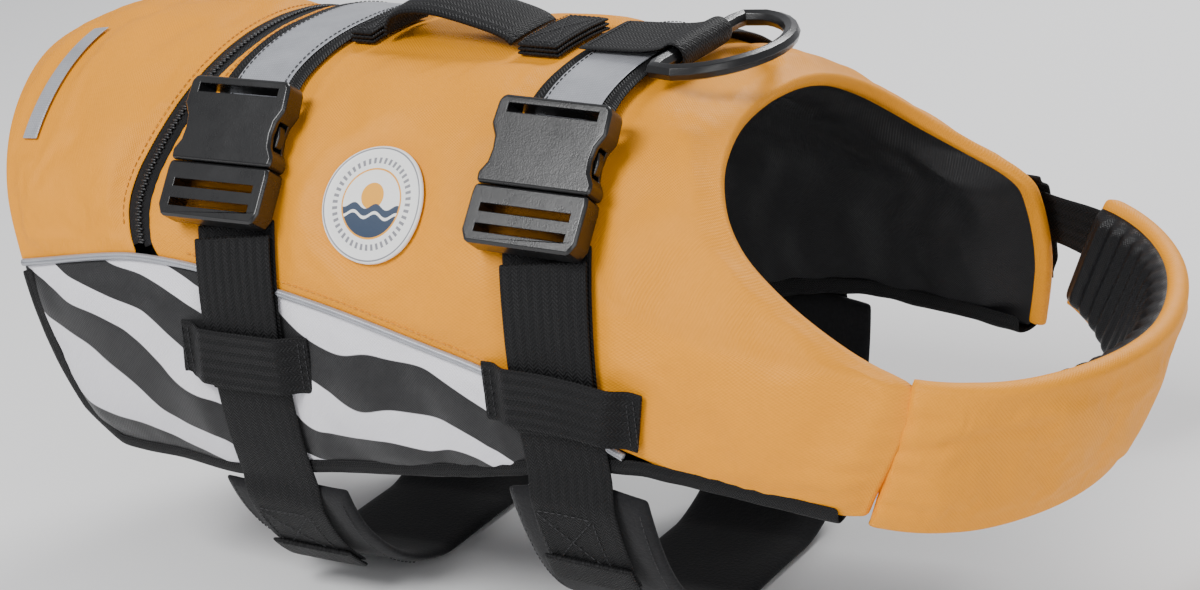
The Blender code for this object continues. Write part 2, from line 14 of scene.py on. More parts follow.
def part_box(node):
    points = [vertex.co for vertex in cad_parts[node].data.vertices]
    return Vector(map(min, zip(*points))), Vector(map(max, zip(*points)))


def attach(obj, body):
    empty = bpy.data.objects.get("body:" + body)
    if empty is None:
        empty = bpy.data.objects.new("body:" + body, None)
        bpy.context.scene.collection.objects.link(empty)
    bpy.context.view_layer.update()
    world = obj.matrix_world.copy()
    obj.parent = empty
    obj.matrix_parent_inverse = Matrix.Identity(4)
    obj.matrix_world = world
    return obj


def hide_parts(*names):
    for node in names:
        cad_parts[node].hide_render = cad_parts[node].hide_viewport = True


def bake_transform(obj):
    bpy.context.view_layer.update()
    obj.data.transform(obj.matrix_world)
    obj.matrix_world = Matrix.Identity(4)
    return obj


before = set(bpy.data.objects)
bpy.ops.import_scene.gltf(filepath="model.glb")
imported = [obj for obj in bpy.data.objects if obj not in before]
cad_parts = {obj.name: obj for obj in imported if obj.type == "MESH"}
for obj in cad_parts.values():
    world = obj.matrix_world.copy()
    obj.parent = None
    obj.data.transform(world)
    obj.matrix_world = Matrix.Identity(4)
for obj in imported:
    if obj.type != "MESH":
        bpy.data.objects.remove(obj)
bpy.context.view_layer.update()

# Sizes shared with the CAD
WEB, WEB_T = 0.038, 0.0018   # the girth webbing's width and thickness
GAP = 0.0005           # between the cover and what lies on it
DEEP = 0.0160          # cover, foam and lining together
FRONT_X, REAR_X = 0.0, -0.146   # the girth straps
PAD = 0.064            # the belly pads' width
ZIP_HALF = 0.0053      # half the zip's width
ZIP_END = 69.0         # degrees from the top to each end of the zip
# The zip's x on the spine, its lean as x over height, and the degrees where its ends start to bend
ZIP_TOP, ZIP_TILT, ZIP_RUN = -0.1765, 0.30, 54.0
TOOTH_HIGH, TOOTH_WIDE = 0.00075, 0.00050   # a tooth's half height and half width
BAND_DEEP = 0.0143     # the chest band's cover, foam and lining
LIP = 0.0085           # thickness of the shell at its sewn neck edge
BADGE, BADGE_R = (-0.0746, -54.0), 0.0235   # x and degrees, and radius
PAD_LIFT = 0.0034      # how far the straps rise to lie over the belly pads
PRINT_FRONT = 0.033    # the side panels' front end
SEAM_FALL = 0.010      # how far from a seam the cloth starts to billow
# Where the handle and the lead ring's tab press on the cover: x, half length, half width
HANDLE_PRESS = (-0.0775, 0.052, 0.020)
RING_PRESS = (0.022, 0.022, 0.019)
BAR_X, BAR_FROM, BAR_TO = -0.2595, -47, -11   # the reflective bar: x, and degrees at its ends
LOOP_X, LOOP_ANGLE = 0.110, 79.0   # the shoulder loop's middle
SIM_FRAMES = 20
DEGREE = 0.00178       # metres for a degree round the hull
BAND_DEGREE = 0.0017   # and round the chest band
BAND_WIDTH = 0.055
STRAP_SHARE = 0.62     # how far up the band's width the cinch strap lies
SIDES = (("right", -1), ("left", 1))
# Each strap: x, and the degrees at which its two ends meet the buckle's halves
STRAP_END = {"front": (FRONT_X, 36.0, 59.0), "rear": (REAR_X, 37.0, 60.5)}

# The hull: (x, value)
HALF_WIDTH = ((-0.31, 0.092), (-0.262, 0.098), (-0.2, 0.104), (-0.146, 0.1035), (0.0, 0.104),
              (0.08, 0.102), (0.14, 0.097), (0.17, 0.090))
TOP = ((-0.31, 0.213), (-0.25, 0.226), (-0.2, 0.227), (-0.146, 0.225), (0.0, 0.222),
       (0.03, 0.216), (0.08, 0.209), (0.17, 0.203))
MIDDLE = ((-0.31, 0.122), (-0.2, 0.123), (-0.146, 0.119), (0.0, 0.118), (0.08, 0.106), (0.17, 0.100))
POWER = ((-0.31, 2.1), (-0.205, 2.1), (-0.19, 2.1), (-0.146, 2.3), (0.0, 2.35), (0.17, 2.3))
# Seams on the hull: degrees from the top against x
HEM = ((-0.235, 114.5), (-0.2173, 120.0), (-0.1736, 122.0), (-0.1088, 116.1), (-0.0335, 111.1),
       (0.0, 107.3), (0.03, 103.6), (0.045, 101.8), (0.0742, 101.0), (0.1288, 103.5))
PIPE = ((-0.262, 77.0), (-0.1886, 71.9), (-0.1623, 71.3), (-0.1221, 74.0), (-0.0931, 76.8),
        (-0.0512, 82.1), (-0.0154, 87.2), (0.03, 98.2), (0.040, 100.0))
COVER_LOW = tuple((x, a - 0.5) for x, a in PIPE[:-1]) + ((0.047, 99.0), (0.056, 100.5), (0.08, 100.8),
                                                         (0.135, 102.8))
LEAN = ((-180, 0.004), (-150, 0.006), (-110, 0.011), (-75, 0.010), (-45, 0.003), (-25, -0.003), (0, -0.001),
        (40, 0.0), (180, 0.004))
# Edges across the hull: x against degrees from the top
TAIL = ((0, -0.290), (15, -0.2865), (30, -0.281), (45, -0.2750), (60, -0.267), (74, -0.257), (98, -0.2435),
        (120, -0.229))
NECK = ((0, 0.055), (14, 0.0562), (29, 0.0605), (40.6, 0.0685), (49, 0.0794), (56.3, 0.0963),
        (63.2, 0.1172), (68.4, 0.1366), (71.3, 0.152), (103.5, 0.129))
NECK_LEFT = ((0, 0.055), (14, 0.0562), (29, 0.0605), (40.6, 0.0685), (49, 0.0794), (56.3, 0.0963),
             (62, 0.1135), (66, 0.1195), (82, 0.1215), (104, 0.116))
# Chest band against degrees from straight ahead, + on the left
BAND_START, BAND_END = -77.5, 80.0
BAND_TOP = ((-80, 0.131), (-40, 0.124), (0, 0.121), (40, 0.128), (82, 0.140))
BAND_LOW = ((-80, 0.079), (-40, 0.070), (0, 0.066), (40, 0.076), (82, 0.098))

YELLOW = (0.88, 0.325, 0.0)
BLACK = (0.0045, 0.0045, 0.005)
LINING_BLACK = (0.007, 0.007, 0.008)
NYLON_BLACK = (0.006, 0.006, 0.0065)


# Surfaces

def curve(table, at):
    """A smooth curve through the table, straight beyond its ends."""
    xs, ys = np.array(table, float).T
    rise = np.diff(ys) / np.diff(xs)
    both = rise[1:] + rise[:-1]
    inner = np.where(rise[1:] * rise[:-1] > 0, 2 * rise[1:] * rise[:-1] / np.where(both == 0, 1, both), 0)
    slopes = np.concatenate([rise[:1], inner, rise[-1:]])
    at = np.asarray(at, float)
    i = np.clip(np.searchsorted(xs, at) - 1, 0, len(xs) - 2)
    step = xs[i + 1] - xs[i]
    t = np.clip((at - xs[i]) / step, 0, 1)
    blend = (2 * t**3 - 3 * t**2 + 1) * ys[i] + (3 * t**2 - 2 * t**3) * ys[i + 1]
    return blend + step * ((t**3 - 2 * t**2 + t) * slopes[i] + (t**3 - t**2) * slopes[i + 1])


def hull(x, angle):
    """The cover's outer face: a superellipse round X, deeper below its middle, down to the floor."""
    x, angle = np.broadcast_arrays(np.asarray(x, float), np.asarray(angle, float))
    middle = curve(MIDDLE, x)
    sine, cosine = np.sin(np.radians(angle)), np.cos(np.radians(angle))
    height = np.where(cosine > 0, curve(TOP, x) - middle, middle)
    power = curve(POWER, x)
    reach = (np.abs(sine / curve(HALF_WIDTH, x)) ** power + np.abs(cosine / height) ** power) ** (-1 / power)
    return np.stack([x, reach * sine, middle + reach * cosine], -1)


def chest(angle, share):
    """The chest band's outer face, from its lower edge (0) to its upper edge (1)."""
    angle, share = np.broadcast_arrays(np.asarray(angle, float), np.asarray(share, float))
    a = np.radians(angle)
    x = (0.122 + 0.062 * np.cos(a)) * (1 - share) + (0.140 + 0.070 * np.cos(a)) * share
    y = (0.096 * (1 - share) + 0.0925 * share) * np.sin(a)
    z = curve(BAND_LOW, angle) * (1 - share) + curve(BAND_TOP, angle) * share
    return np.stack([x, y, z], -1)


def zip_line():
    """The zip's x against the angle: a leaning plane across the hull, bending forwards at its ends."""
    rows = []
    for angle in np.arange(0, 80, 6.0):
        x = ZIP_TOP
        for _ in range(20):
            x = ZIP_TOP - ZIP_TILT * (hull(ZIP_TOP, 0)[2] - hull(x, angle)[2])
        rows.append((angle, x + 4.4e-5 * max(0, angle - ZIP_RUN) ** 2))
    return tuple(rows)


def unit(vectors):
    return vectors / np.linalg.norm(vectors, axis=-1, keepdims=True)


def heading(points):
    """The unit direction of travel at each point of a line."""
    return unit(np.gradient(points, axis=0))


def travelled(points):
    """Metres from a line's start to each of its points."""
    return np.concatenate([[0], np.cumsum(np.linalg.norm(np.diff(points, axis=0), axis=1))])


def eased(line, times):
    """The line with its corners rounded and its ends kept."""
    for _ in range(times):
        line[1:-1] = (line[:-2] + 2 * line[1:-1] + line[2:]) / 4
    return line


def directions(surface, u, v):
    """The directions in which a surface's two coordinates grow."""
    hu, hv = (0.0005, 0.05) if surface is hull else (0.05, 0.005)
    return surface(u + hu, v) - surface(u - hu, v), surface(u, v + hv) - surface(u, v - hv)


def around(surface, u, v):
    """Points and outward normals of a surface."""
    return surface(u, v), unit(np.cross(*directions(surface, u, v)))


def inset(table, by):
    return tuple((a, x - by) for a, x in table)


def pick(edge, at):
    return curve(edge, at) if isinstance(edge, tuple) else np.full(np.shape(at), float(edge))


def angle_at(low, high, x, share):
    bottom = pick(low, x)
    return bottom + (pick(high, x) - bottom) * share


def patch(start, end, low, high, rows, cols, side=-1):
    """A grid on the hull between two x edges and two angle edges, each a number or a table."""
    share = np.linspace(0, 1, cols + 1)
    edges = []
    for edge in (start, end):
        x = pick(edge, 90 * (1 - share))
        for _ in range(14):
            x = (x + pick(edge, angle_at(low, high, x, share))) / 2
        edges.append(x)
    x = edges[0] + (edges[1] - edges[0]) * np.linspace(0, 1, rows + 1)[:, None]
    return x, side * angle_at(low, high, x, share)


def both_sides(right, left):
    """Two grids that meet on the spine, as one from the right edge to the left."""
    return [np.hstack([a, b[:, -2::-1]]) for a, b in zip(right, left)]


def waves(points, size, seed):
    """Smooth noise about 0, with features of about the given size."""
    count = 9
    random = np.random.default_rng(seed)
    ways = unit(random.normal(size=(count, 3)))
    sizes = size * random.uniform(0.7, 1.6, count)
    phases = random.uniform(0, 2 * math.pi, count)
    total = np.sin(points @ (ways * (2 * math.pi / sizes)[:, None]).T + phases).sum(-1)
    return total / math.sqrt(count)


def gathers(turns):
    """Folds of gathered cloth: broad ridges between sharp valleys, one for each half turn."""
    return np.abs(np.sin(turns)) ** 0.6 - 0.6


def smooth(value, low, high):
    """From 0 to 1 as the value goes from low to high."""
    t = np.clip((value - low) / (high - low), 0, 1)
    return t * t * (3 - 2 * t)


def beyond(value, middle, half):
    """How far a value lies outside a span."""
    return np.maximum(np.abs(value - middle) - half, 0)


def near(*gaps):
    """1 at a seam, falling to 0 as the gap to the nearest one grows."""
    return 1 - smooth(np.minimum.reduce(np.broadcast_arrays(*gaps)), 0.0, SEAM_FALL)


def domed(share):
    """A quarter round: from 0, rising steeply, to 1, level."""
    return np.sqrt(1 - (1 - np.clip(share, 0, 1)) ** 2)


# Meshes

def lengths(grid):
    """Metres along the rows and the columns of a grid, as UV."""
    u = np.zeros(grid.shape[:2])
    v = np.zeros(grid.shape[:2])
    u[1:] = np.cumsum(np.linalg.norm(np.diff(grid, axis=0), axis=-1), axis=0)
    v[:, 1:] = np.cumsum(np.linalg.norm(np.diff(grid, axis=1), axis=-1), axis=1)
    middle = grid.shape[1] // 2
    return np.stack([u[:, middle:middle + 1] + 0 * u, v - v[:, middle:middle + 1]], -1)


def mesh_of(name, points, faces, uv, mat, body, node=()):
    """A piece from points and quads, with UV per point in metres."""
    mesh = bpy.data.meshes.new(name)
    mesh.from_pydata(np.asarray(points, float).tolist(), [], np.asarray(faces).tolist())
    if uv is not None:
        layer = mesh.uv_layers.new(name="metres")
        layer.data.foreach_set("uv", np.asarray(uv, float)[np.asarray(faces).ravel()].ravel())
    mesh.materials.append(mat)
    mesh.shade_smooth()
    obj = bpy.data.objects.new(name, mesh)
    bpy.context.scene.collection.objects.link(obj)
    if body:
        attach(obj, body)
    nodes = [node] if isinstance(node, str) else list(node)
    if nodes:
        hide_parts(*nodes)
    return obj


def quads(rows, cols, start=0):
    index = np.arange(rows * cols).reshape(rows, cols) + start
    corners = (index[:-1, :-1], index[1:, :-1], index[1:, 1:], index[:-1, 1:])
    return np.stack(corners, -1).reshape(-1, 4)


def skin(name, grid, mat, body, node=(), thick=0.0007):
    """An open cloth surface through a grid, which thicken() finishes."""
    rows, cols = grid.shape[:2]
    uv = lengths(grid).reshape(-1, 2)
    obj = mesh_of(name, grid.reshape(-1, 3), quads(rows, cols), uv, mat, body, node)
    obj["thick"] = thick
    return obj


def subdivide(obj):
    add = obj.modifiers.new("smooth", "SUBSURF")
    add.levels = add.render_levels = 1


def thicken(obj, smoothed=True):
    """Gives a skin its cloth's thickness, inwards. It comes after the simulation and any blend."""
    add = obj.modifiers.new("thickness", "SOLIDIFY")
    add.thickness = obj["thick"]
    add.offset = -1
    if smoothed:
        subdivide(obj)


def closed(name, middle, normal, half, mat, body, node=(), uv=None):
    """A closed form about a grid of middle points, half its thickness at each, flat at its rim."""
    rows, cols = middle.shape[:2]
    half = np.broadcast_to(half, (rows, cols))[..., None]
    both = middle + normal * half, middle - normal * half
    points = np.concatenate([side.reshape(-1, 3) for side in both])
    top = quads(rows, cols)
    low = quads(rows, cols, rows * cols)[:, ::-1]
    index = np.arange(rows * cols).reshape(rows, cols)
    rim = np.concatenate([index[0, :-1], index[:-1, -1], index[-1, :0:-1], index[:0:-1, 0]])
    after = np.roll(rim, -1)
    sides = np.stack([rim, after, after + rows * cols, rim + rows * cols], -1)
    uv = lengths(middle) if uv is None else uv
    uv = np.concatenate([uv.reshape(-1, 2)] * 2)
    faces = np.concatenate([top, low, sides])
    obj = mesh_of(name, points, faces, uv, mat, body, node)
    subdivide(obj)
    return obj


def rim_of(rows, cols, row_share, col_share):
    """Thickness factor of a grid that thins towards its rim, over a share of its rows and columns."""
    low = 0.35
    i = np.linspace(0, 1, rows)[:, None]
    j = np.linspace(0, 1, cols)[None, :]
    inwards = np.minimum(np.minimum(i, 1 - i) / row_share, np.minimum(j, 1 - j) / col_share)
    return low + (1 - low) * domed(inwards)


def ribbon(name, points, normal, width, thick, mat, body, node=(), curl=0.0):
    """Flat webbing along a line of points, its middle half its thickness above them."""
    cols = 9
    points, normal = np.asarray(points, float), np.asarray(normal, float)
    ahead = heading(points)
    side = unit(np.cross(normal, ahead))
    c = np.sin(np.linspace(-1, 1, cols) * math.pi / 2)
    middle = points[:, None] + side[:, None] * (c * width / 2)[:, None] + normal[:, None] * (thick / 2)
    middle += normal[:, None] * (curl * c**2)[:, None]
    edge = 0.45 + 0.55 * np.sqrt(1 - np.abs(c) ** 8)
    run = travelled(points)
    uv = np.stack(np.broadcast_arrays(run[:, None], (c * width / 2)[None, :]), -1)
    spread = np.broadcast_to(normal[:, None], middle.shape)
    return closed(name, middle, spread, thick / 2 * edge, mat, body, node, uv)


def laid(name, u, v, width, low, thick, mat, body, node=(), lift=0.0, ripple=0.0):
    """Webbing along a path on the hull, its underside at the offset low."""
    points, normal = around(hull, u, v)
    wavy = ripple * waves(points, 0.03, len(name))
    middle = points + normal * (low + np.broadcast_to(lift, len(points)) + wavy)[:, None]
    return ribbon(name, middle, normal, width, thick, mat, body, node)


def between(run, rows, at):
    """The row at a distance along a line whose points lie at the distances in run."""
    return np.array([np.interp(at, run, column) for column in rows.T])


def stitches(name, lines, body, mat, pitch=0.0030, long=0.0021):
    """Thread: short raised dashes along lines of (points, normals), as one piece."""
    radius = 0.00022
    points, faces = [], []
    turns = np.linspace(0, 2 * math.pi, 6, endpoint=False)
    for line, normal in lines:
        run = travelled(line)
        for s in np.arange(pitch / 2, run[-1] - long, pitch):
            ends = [between(run, line, t) for t in (s, s + long)]
            up = between(run, normal, s)
            side = np.cross(up, unit(ends[1] - ends[0]))
            base = len(points)
            for share, grow in ((0, 0.45), (0.2, 1), (0.8, 1), (1, 0.45)):
                centre = ends[0] + (ends[1] - ends[0]) * share + up * radius * (0.9 if grow == 1 else 0.1)
                for t in turns:
                    points.append(centre + grow * radius * (side * math.cos(t) + up * math.sin(t)))
            for ring in range(3):
                for k in range(6):
                    a, b = base + 6 * ring + k, base + 6 * ring + (k + 1) % 6
                    faces.append((a, b, b + 6, a + 6))
            for at, turn in ((base, -1), (base + 18, 1)):
                faces.append(tuple(at + k for k in (0, 1, 2, 3))[::turn])
                faces.append(tuple(at + k for k in (0, 3, 4, 5))[::turn])
    return mesh_of(name, points, faces, None, mat, body)


def seam(surface, u, v, lift):
    """A line for stitches on a surface."""
    u, v = np.broadcast_arrays(np.asarray(u, float), np.asarray(v, float))
    points, normal = around(surface, u, v)
    return points + normal * lift, normal


def rolled(grid, normal, depth, reach, tuck):
    """The grid with its last row carried round the layers' edge and under them."""
    out = grid[-1] - grid[-2]
    out = unit(out - normal * (out * normal).sum(-1, keepdims=True))
    depth = np.broadcast_to(depth, len(normal))[:, None]
    rows = []
    for turn in np.radians(np.linspace(0, 180, 10)[1:]):
        rows.append(grid[-1] - normal * depth * (1 - math.cos(turn)) / 2 + out * reach * math.sin(turn))
    rows.append(rows[-1] - out * tuck - normal * 0.0004)
    return np.concatenate([grid, np.stack(rows)])


def read(rows, name):
    """A vector property of Blender's rows, as an array."""
    values = np.empty(len(rows) * 3, np.float32)
    rows.foreach_get(name, values)
    return values.reshape(-1, 3).astype(float)


def fill_out(obj, grid, hold, pressure, grow, cap):
    """Cloth simulation of a filled panel: the held points stay and the rest billows out, up to the cap."""
    sink, most_slide = 0.0008, 0.002
    rest, hold = grid.reshape(-1, 3), hold.ravel()
    group = obj.vertex_groups.new(name="held")
    for level in range(1, 11):
        points = np.flatnonzero(np.round(hold * 10) == level)
        if len(points):
            group.add(points.tolist(), level / 10, "REPLACE")
    add = obj.modifiers.new("cloth", "CLOTH")
    settings = add.settings
    settings.quality = 5
    settings.mass = 0.2
    settings.tension_stiffness = settings.compression_stiffness = 18
    settings.shear_stiffness = 8
    settings.bending_stiffness = 0.05
    settings.vertex_group_mass = "held"
    settings.pin_stiffness = 1.0
    settings.use_pressure = True
    settings.uniform_pressure_force = pressure
    settings.shrink_min = -grow
    settings.effector_weights.gravity = 0
    add.collision_settings.use_collision = False
    add.point_cache.frame_start, add.point_cache.frame_end = 1, SIM_FRAMES
    scene = bpy.context.scene
    for step in range(1, SIM_FRAMES + 1):
        scene.frame_set(step)
    made = obj.evaluated_get(bpy.context.evaluated_depsgraph_get()).to_mesh()
    moved = read(made.vertices, "co") - rest
    obj.modifiers.remove(add)
    scene.frame_set(1)
    normals = read(obj.data.vertex_normals, "vector")
    rise = (moved * normals).sum(-1)
    slide = moved - normals * rise[:, None]
    slide *= np.minimum(1, most_slide / np.maximum(np.linalg.norm(slide, axis=-1), 1e-9))[:, None]
    rise = np.where(rise > 0, cap * np.tanh(rise / cap), -sink * np.tanh(-rise / sink))
    final = rest + slide + normals * rise[:, None]
    obj.data.vertices.foreach_set("co", final.astype(np.float32).ravel())
    obj.data.update()


# Materials

def node(mat, kind, inputs=(), **options):
    """A shader node, its inputs set to values or linked to sockets."""
    made = mat.node_tree.nodes.new("ShaderNode" + kind)
    for key, value in options.items():
        setattr(made, key, value)
    for key, value in dict(inputs).items():
        if isinstance(value, bpy.types.NodeSocket):
            mat.node_tree.links.new(value, made.inputs[key])
        else:
            made.inputs[key].default_value = value
    return made


def calc(mat, operation, a, b=0.0, clamp=False):
    return node(mat, "Math", {0: a, 1: b}, operation=operation, use_clamp=clamp).outputs[0]


def times(mat, a, b, clamp=False):
    return calc(mat, "MULTIPLY", a, b, clamp)


def plus(mat, a, b, clamp=False):
    return calc(mat, "ADD", a, b, clamp)


def sine(mat, value, wavelength):
    return calc(mat, "SINE", times(mat, value, 2 * math.pi / wavelength))


def noise(mat, scale, detail=3.0, rough=0.55, at=None):
    at = at or node(mat, "TexCoord").outputs["Object"]
    inputs = {"Vector": at, "Scale": scale, "Detail": detail, "Roughness": rough}
    return node(mat, "TexNoise", inputs).outputs[0]


def uv_parts(mat):
    where = node(mat, "UVMap", uv_map="metres").outputs[0]
    return node(mat, "SeparateXYZ", {0: where}).outputs


def ramp(mat, factor, stops):
    """A colour ramp of (place, colour) stops."""
    made = node(mat, "ValToRGB", {0: factor})
    band = made.color_ramp
    for k, (place, colour) in enumerate(stops):
        stop = band.elements[k] if k < 2 else band.elements.new(place)
        stop.position = place
        stop.color = (*colour, 1)
    return made.outputs[0]


def mix(mat, factor, a, b):
    made = node(mat, "Mix", {0: factor, 6: a, 7: b}, data_type="RGBA")
    return made.outputs[2]


def shader(name, base, rough, **fixed):
    """A material with its Principled shader: base and rough are set or linked later."""
    mat = bpy.data.materials.new(name)
    mat.use_nodes = True
    main = mat.node_tree.nodes["Principled BSDF"]
    main.inputs["Base Color"].default_value = (*base, 1)
    main.inputs["Roughness"].default_value = rough
    for key, value in fixed.items():
        main.inputs[key.replace("_", " ")].default_value = value
    return mat, main


def bump(mat, main, layers):
    """Bumps stacked on the shader: (height socket, distance in metres)."""
    before = None
    for height, distance in layers:
        inputs = {"Height": height, "Distance": distance, "Strength": 1.0}
        if before:
            inputs["Normal"] = before
        before = node(mat, "Bump", inputs).outputs[0]
    feed(mat, main, "Normal", before)


def feed(mat, main, name, socket):
    mat.node_tree.links.new(socket, main.inputs[name])


def tint(colour, by):
    """The colour made lighter or darker, with its alpha."""
    return (*(min(1.0, c * by) for c in colour), 1)


def weave(mat, thread):
    """A plain weave of threads a given distance apart, over UV in metres."""
    parts = uv_parts(mat)
    over, under = (sine(mat, part, 2 * thread) for part in parts[:2])
    return times(mat, over, under)


def cloth(name, colour, thread=0.0007, rough=0.55, sheen=0.25, crease=0.0005):
    """Woven polyester: fine weave, soft creases, uneven dye and darker specks."""
    spread = 0.07
    mat, main = shader(name, colour, rough, Sheen_Weight=sheen, Sheen_Roughness=0.35, Specular_IOR_Level=0.35)
    main.inputs["Sheen Tint"].default_value = tint(colour, 1.15)
    cells = weave(mat, thread)
    broad = noise(mat, 9.0, 4.0)
    fine = noise(mat, 420.0, 2.0)
    shade = mix(mat, broad, tint(colour, 1 - spread), tint(colour, 1 + spread))
    speck = plus(mat, times(mat, cells, 0.5), times(mat, fine, 0.9), True)
    shade = mix(mat, times(mat, speck, 0.22), shade, tint(colour, 0.62))
    feed(mat, main, "Base Color", shade)
    feed(mat, main, "Roughness", plus(mat, rough - 0.08, times(mat, fine, 0.16)))
    bump(mat, main, [(noise(mat, 34.0, 3.0, 0.5), crease), (cells, 0.00006), (fine, 0.00012)])
    return mat


def webbing(name, colour=BLACK, rib=0.0016):
    """Nylon webbing: zigzag ribs across it, yarns along it, worn gloss, and painted highlights on rib and
    yarn crests.
    """
    mat, main = shader(name, colour, 0.6, Sheen_Weight=0.02, Sheen_Roughness=0.4, Specular_IOR_Level=0.22)
    parts = uv_parts(mat)
    zigzag = calc(mat, "PINGPONG", parts[1], 0.0021)
    along = plus(mat, parts[0], zigzag)
    ribs = sine(mat, along, rib)
    yarn = sine(mat, parts[1], 0.0008)
    fine = noise(mat, 600.0, 2.0)
    lift = plus(mat, times(mat, ribs, 0.7), times(mat, yarn, 0.3))
    # Painted highlight: the rib and yarn crests are coloured lighter, mixed with fine random tone
    crest_highlight = times(mat, plus(mat, lift, fine), 0.5, True)
    shade = mix(mat, crest_highlight, tint(colour, 0.55), tint(colour, 2.3))
    feed(mat, main, "Base Color", shade)
    worn = noise(mat, 40.0, 4.0)
    feed(mat, main, "Roughness", plus(mat, 0.44, times(mat, worn, 0.26)))
    bump(mat, main, [(worn, 0.0003), (lift, 0.00016), (fine, 0.00012)])
    return mat


def moulded(name, colour, rough):
    """Moulded nylon: a fine spark texture, uneven gloss and light scuffs."""
    mat, main = shader(name, colour, rough, Specular_IOR_Level=0.5, Coat_Weight=0.12, Coat_Roughness=0.25)
    fine = noise(mat, 1500.0, 2.0)
    broad = noise(mat, 55.0, 5.0, 0.7)
    scuff = ramp(mat, broad, [(0.55, (0, 0, 0)), (0.75, (1, 1, 1))])
    shade = mix(mat, times(mat, scuff, 0.35), (*colour, 1), tint(colour, 2.6))
    feed(mat, main, "Base Color", shade)
    feed(mat, main, "Roughness", plus(mat, rough - 0.07, times(mat, broad, 0.2)))
    bump(mat, main, [(fine, 0.00005), (broad, 0.00012)])
    return mat


def fleece(name, colour, size, rough=0.95):
    """Hook-and-loop, neoprene and other matt faces, grained at the given scale."""
    mat, main = shader(name, colour, rough, Sheen_Weight=0.12, Sheen_Roughness=0.5, Specular_IOR_Level=0.2)
    fine = noise(mat, size, 3.0, 0.7)
    broad = noise(mat, 30.0, 3.0)
    shade = mix(mat, fine, tint(colour, 0.5), tint(colour, 1.9))
    feed(mat, main, "Base Color", shade)
    bump(mat, main, [(broad, 0.0004), (fine, 0.0003)])
    return mat


def reflector(name):
    """Retroreflective tape: grey, uneven, with a fine diamond emboss."""
    colour = (0.36, 0.37, 0.40)
    mat, main = shader(name, colour, 0.38, Metallic=0.35, Specular_IOR_Level=0.6, Sheen_Weight=0.1)
    parts = uv_parts(mat)
    rising = sine(mat, plus(mat, parts[0], parts[1]), 0.0022)
    falling = sine(mat, calc(mat, "SUBTRACT", parts[0], parts[1]), 0.0022)
    cells = times(mat, rising, falling)
    broad = noise(mat, 70.0, 5.0, 0.65)
    shade = mix(mat, broad, tint(colour, 0.72), tint(colour, 1.35))
    shade = mix(mat, times(mat, cells, 0.3, True), shade, (0.7, 0.71, 0.74, 1))
    feed(mat, main, "Base Color", shade)
    bump(mat, main, [(broad, 0.00035), (cells, 0.00005)])
    return mat


def banded(name):
    """The side panel's print: pale running bands of uneven width over black cloth."""
    mat, main = shader(name, (0.8, 0.8, 0.82), 0.5, Sheen_Weight=0.15, Specular_IOR_Level=0.35)
    parts = uv_parts(mat)
    place = node(mat, "CombineXYZ", {0: parts[0], 1: parts[1]}).outputs[0]
    wander = noise(mat, 11.0, 1.5, 0.4, place)
    swell = noise(mat, 17.0, 0.0, 0.5, place)
    slope = times(mat, parts[0], 0.42)
    level = plus(mat, plus(mat, parts[1], slope), times(mat, wander, 0.085))
    stripe = sine(mat, level, 0.034)
    width = plus(mat, -0.42, times(mat, swell, 1.1))
    inked = times(mat, plus(mat, calc(mat, "SUBTRACT", stripe, width), 0.02), 14.0, True)
    cells = weave(mat, 0.0007)
    pale = mix(mat, noise(mat, 12.0), (0.70, 0.69, 0.74, 1), (0.84, 0.83, 0.86, 1))
    dark = mix(mat, noise(mat, 300.0), (0.005, 0.005, 0.006, 1), (0.016, 0.016, 0.017, 1))
    feed(mat, main, "Base Color", mix(mat, inked, dark, pale))
    bump(mat, main, [(noise(mat, 34.0), 0.0005), (cells, 0.00006)])
    return mat


def badge_face(name):
    """A soft white badge: a grey ring, a ring of ticks, and a wave under a sun in the middle."""
    mat, main = shader(name, (0.85, 0.85, 0.83), 0.42, Specular_IOR_Level=0.45)
    parts = uv_parts(mat)
    x, y = parts[0], parts[1]

    def distance(a, b):
        return calc(mat, "SQRT", plus(mat, times(mat, a, a), times(mat, b, b)))

    def within(value, low, high):
        above = calc(mat, "GREATER_THAN", value, low)
        return times(mat, above, calc(mat, "LESS_THAN", value, high))

    radius = distance(x, y)
    turn = calc(mat, "ARCTAN2", y, x)
    white, grey = (0.86, 0.86, 0.84, 1), (0.24, 0.24, 0.26, 1)
    sun, sea = (0.86, 0.38, 0.02, 1), (0.03, 0.05, 0.09, 1)
    ticks = calc(mat, "GREATER_THAN", calc(mat, "SINE", times(mat, turn, 44.0)), 0.1)
    ticks = times(mat, ticks, within(radius, 0.0158, 0.0182))
    shade = mix(mat, ticks, white, grey)
    shade = mix(mat, within(radius, 0.0218, 0.0224), shade, grey)
    inside = calc(mat, "LESS_THAN", radius, 0.0132)
    shade = mix(mat, within(radius, 0.0132, 0.0139), shade, sun)
    ball = distance(x, calc(mat, "SUBTRACT", y, 0.0028))
    shade = mix(mat, calc(mat, "LESS_THAN", ball, 0.0052), shade, sun)
    swell = times(mat, calc(mat, "SINE", times(mat, x, 620.0)), 0.0011)
    under = calc(mat, "LESS_THAN", y, calc(mat, "SUBTRACT", swell, 0.0012))
    shade = mix(mat, times(mat, under, inside), shade, sea)
    crest = within(plus(mat, y, times(mat, swell, -1.0)), -0.0052, -0.0040)
    shade = mix(mat, times(mat, crest, inside), shade, white)
    feed(mat, main, "Base Color", shade)
    bump(mat, main, [(noise(mat, 700.0), 0.00005)])
    return mat


# The shell

ZIP = zip_line()
GOLD = cloth("gold_polyester", YELLOW)


def strap_line(x, angle):
    return x + curve(LEAN, angle)


def to_neck(x, angle):
    """Metres along X from a point of the cover to its neck edge."""
    return np.where(angle < 0, curve(NECK, -angle), curve(NECK_LEFT, np.abs(angle))) - x


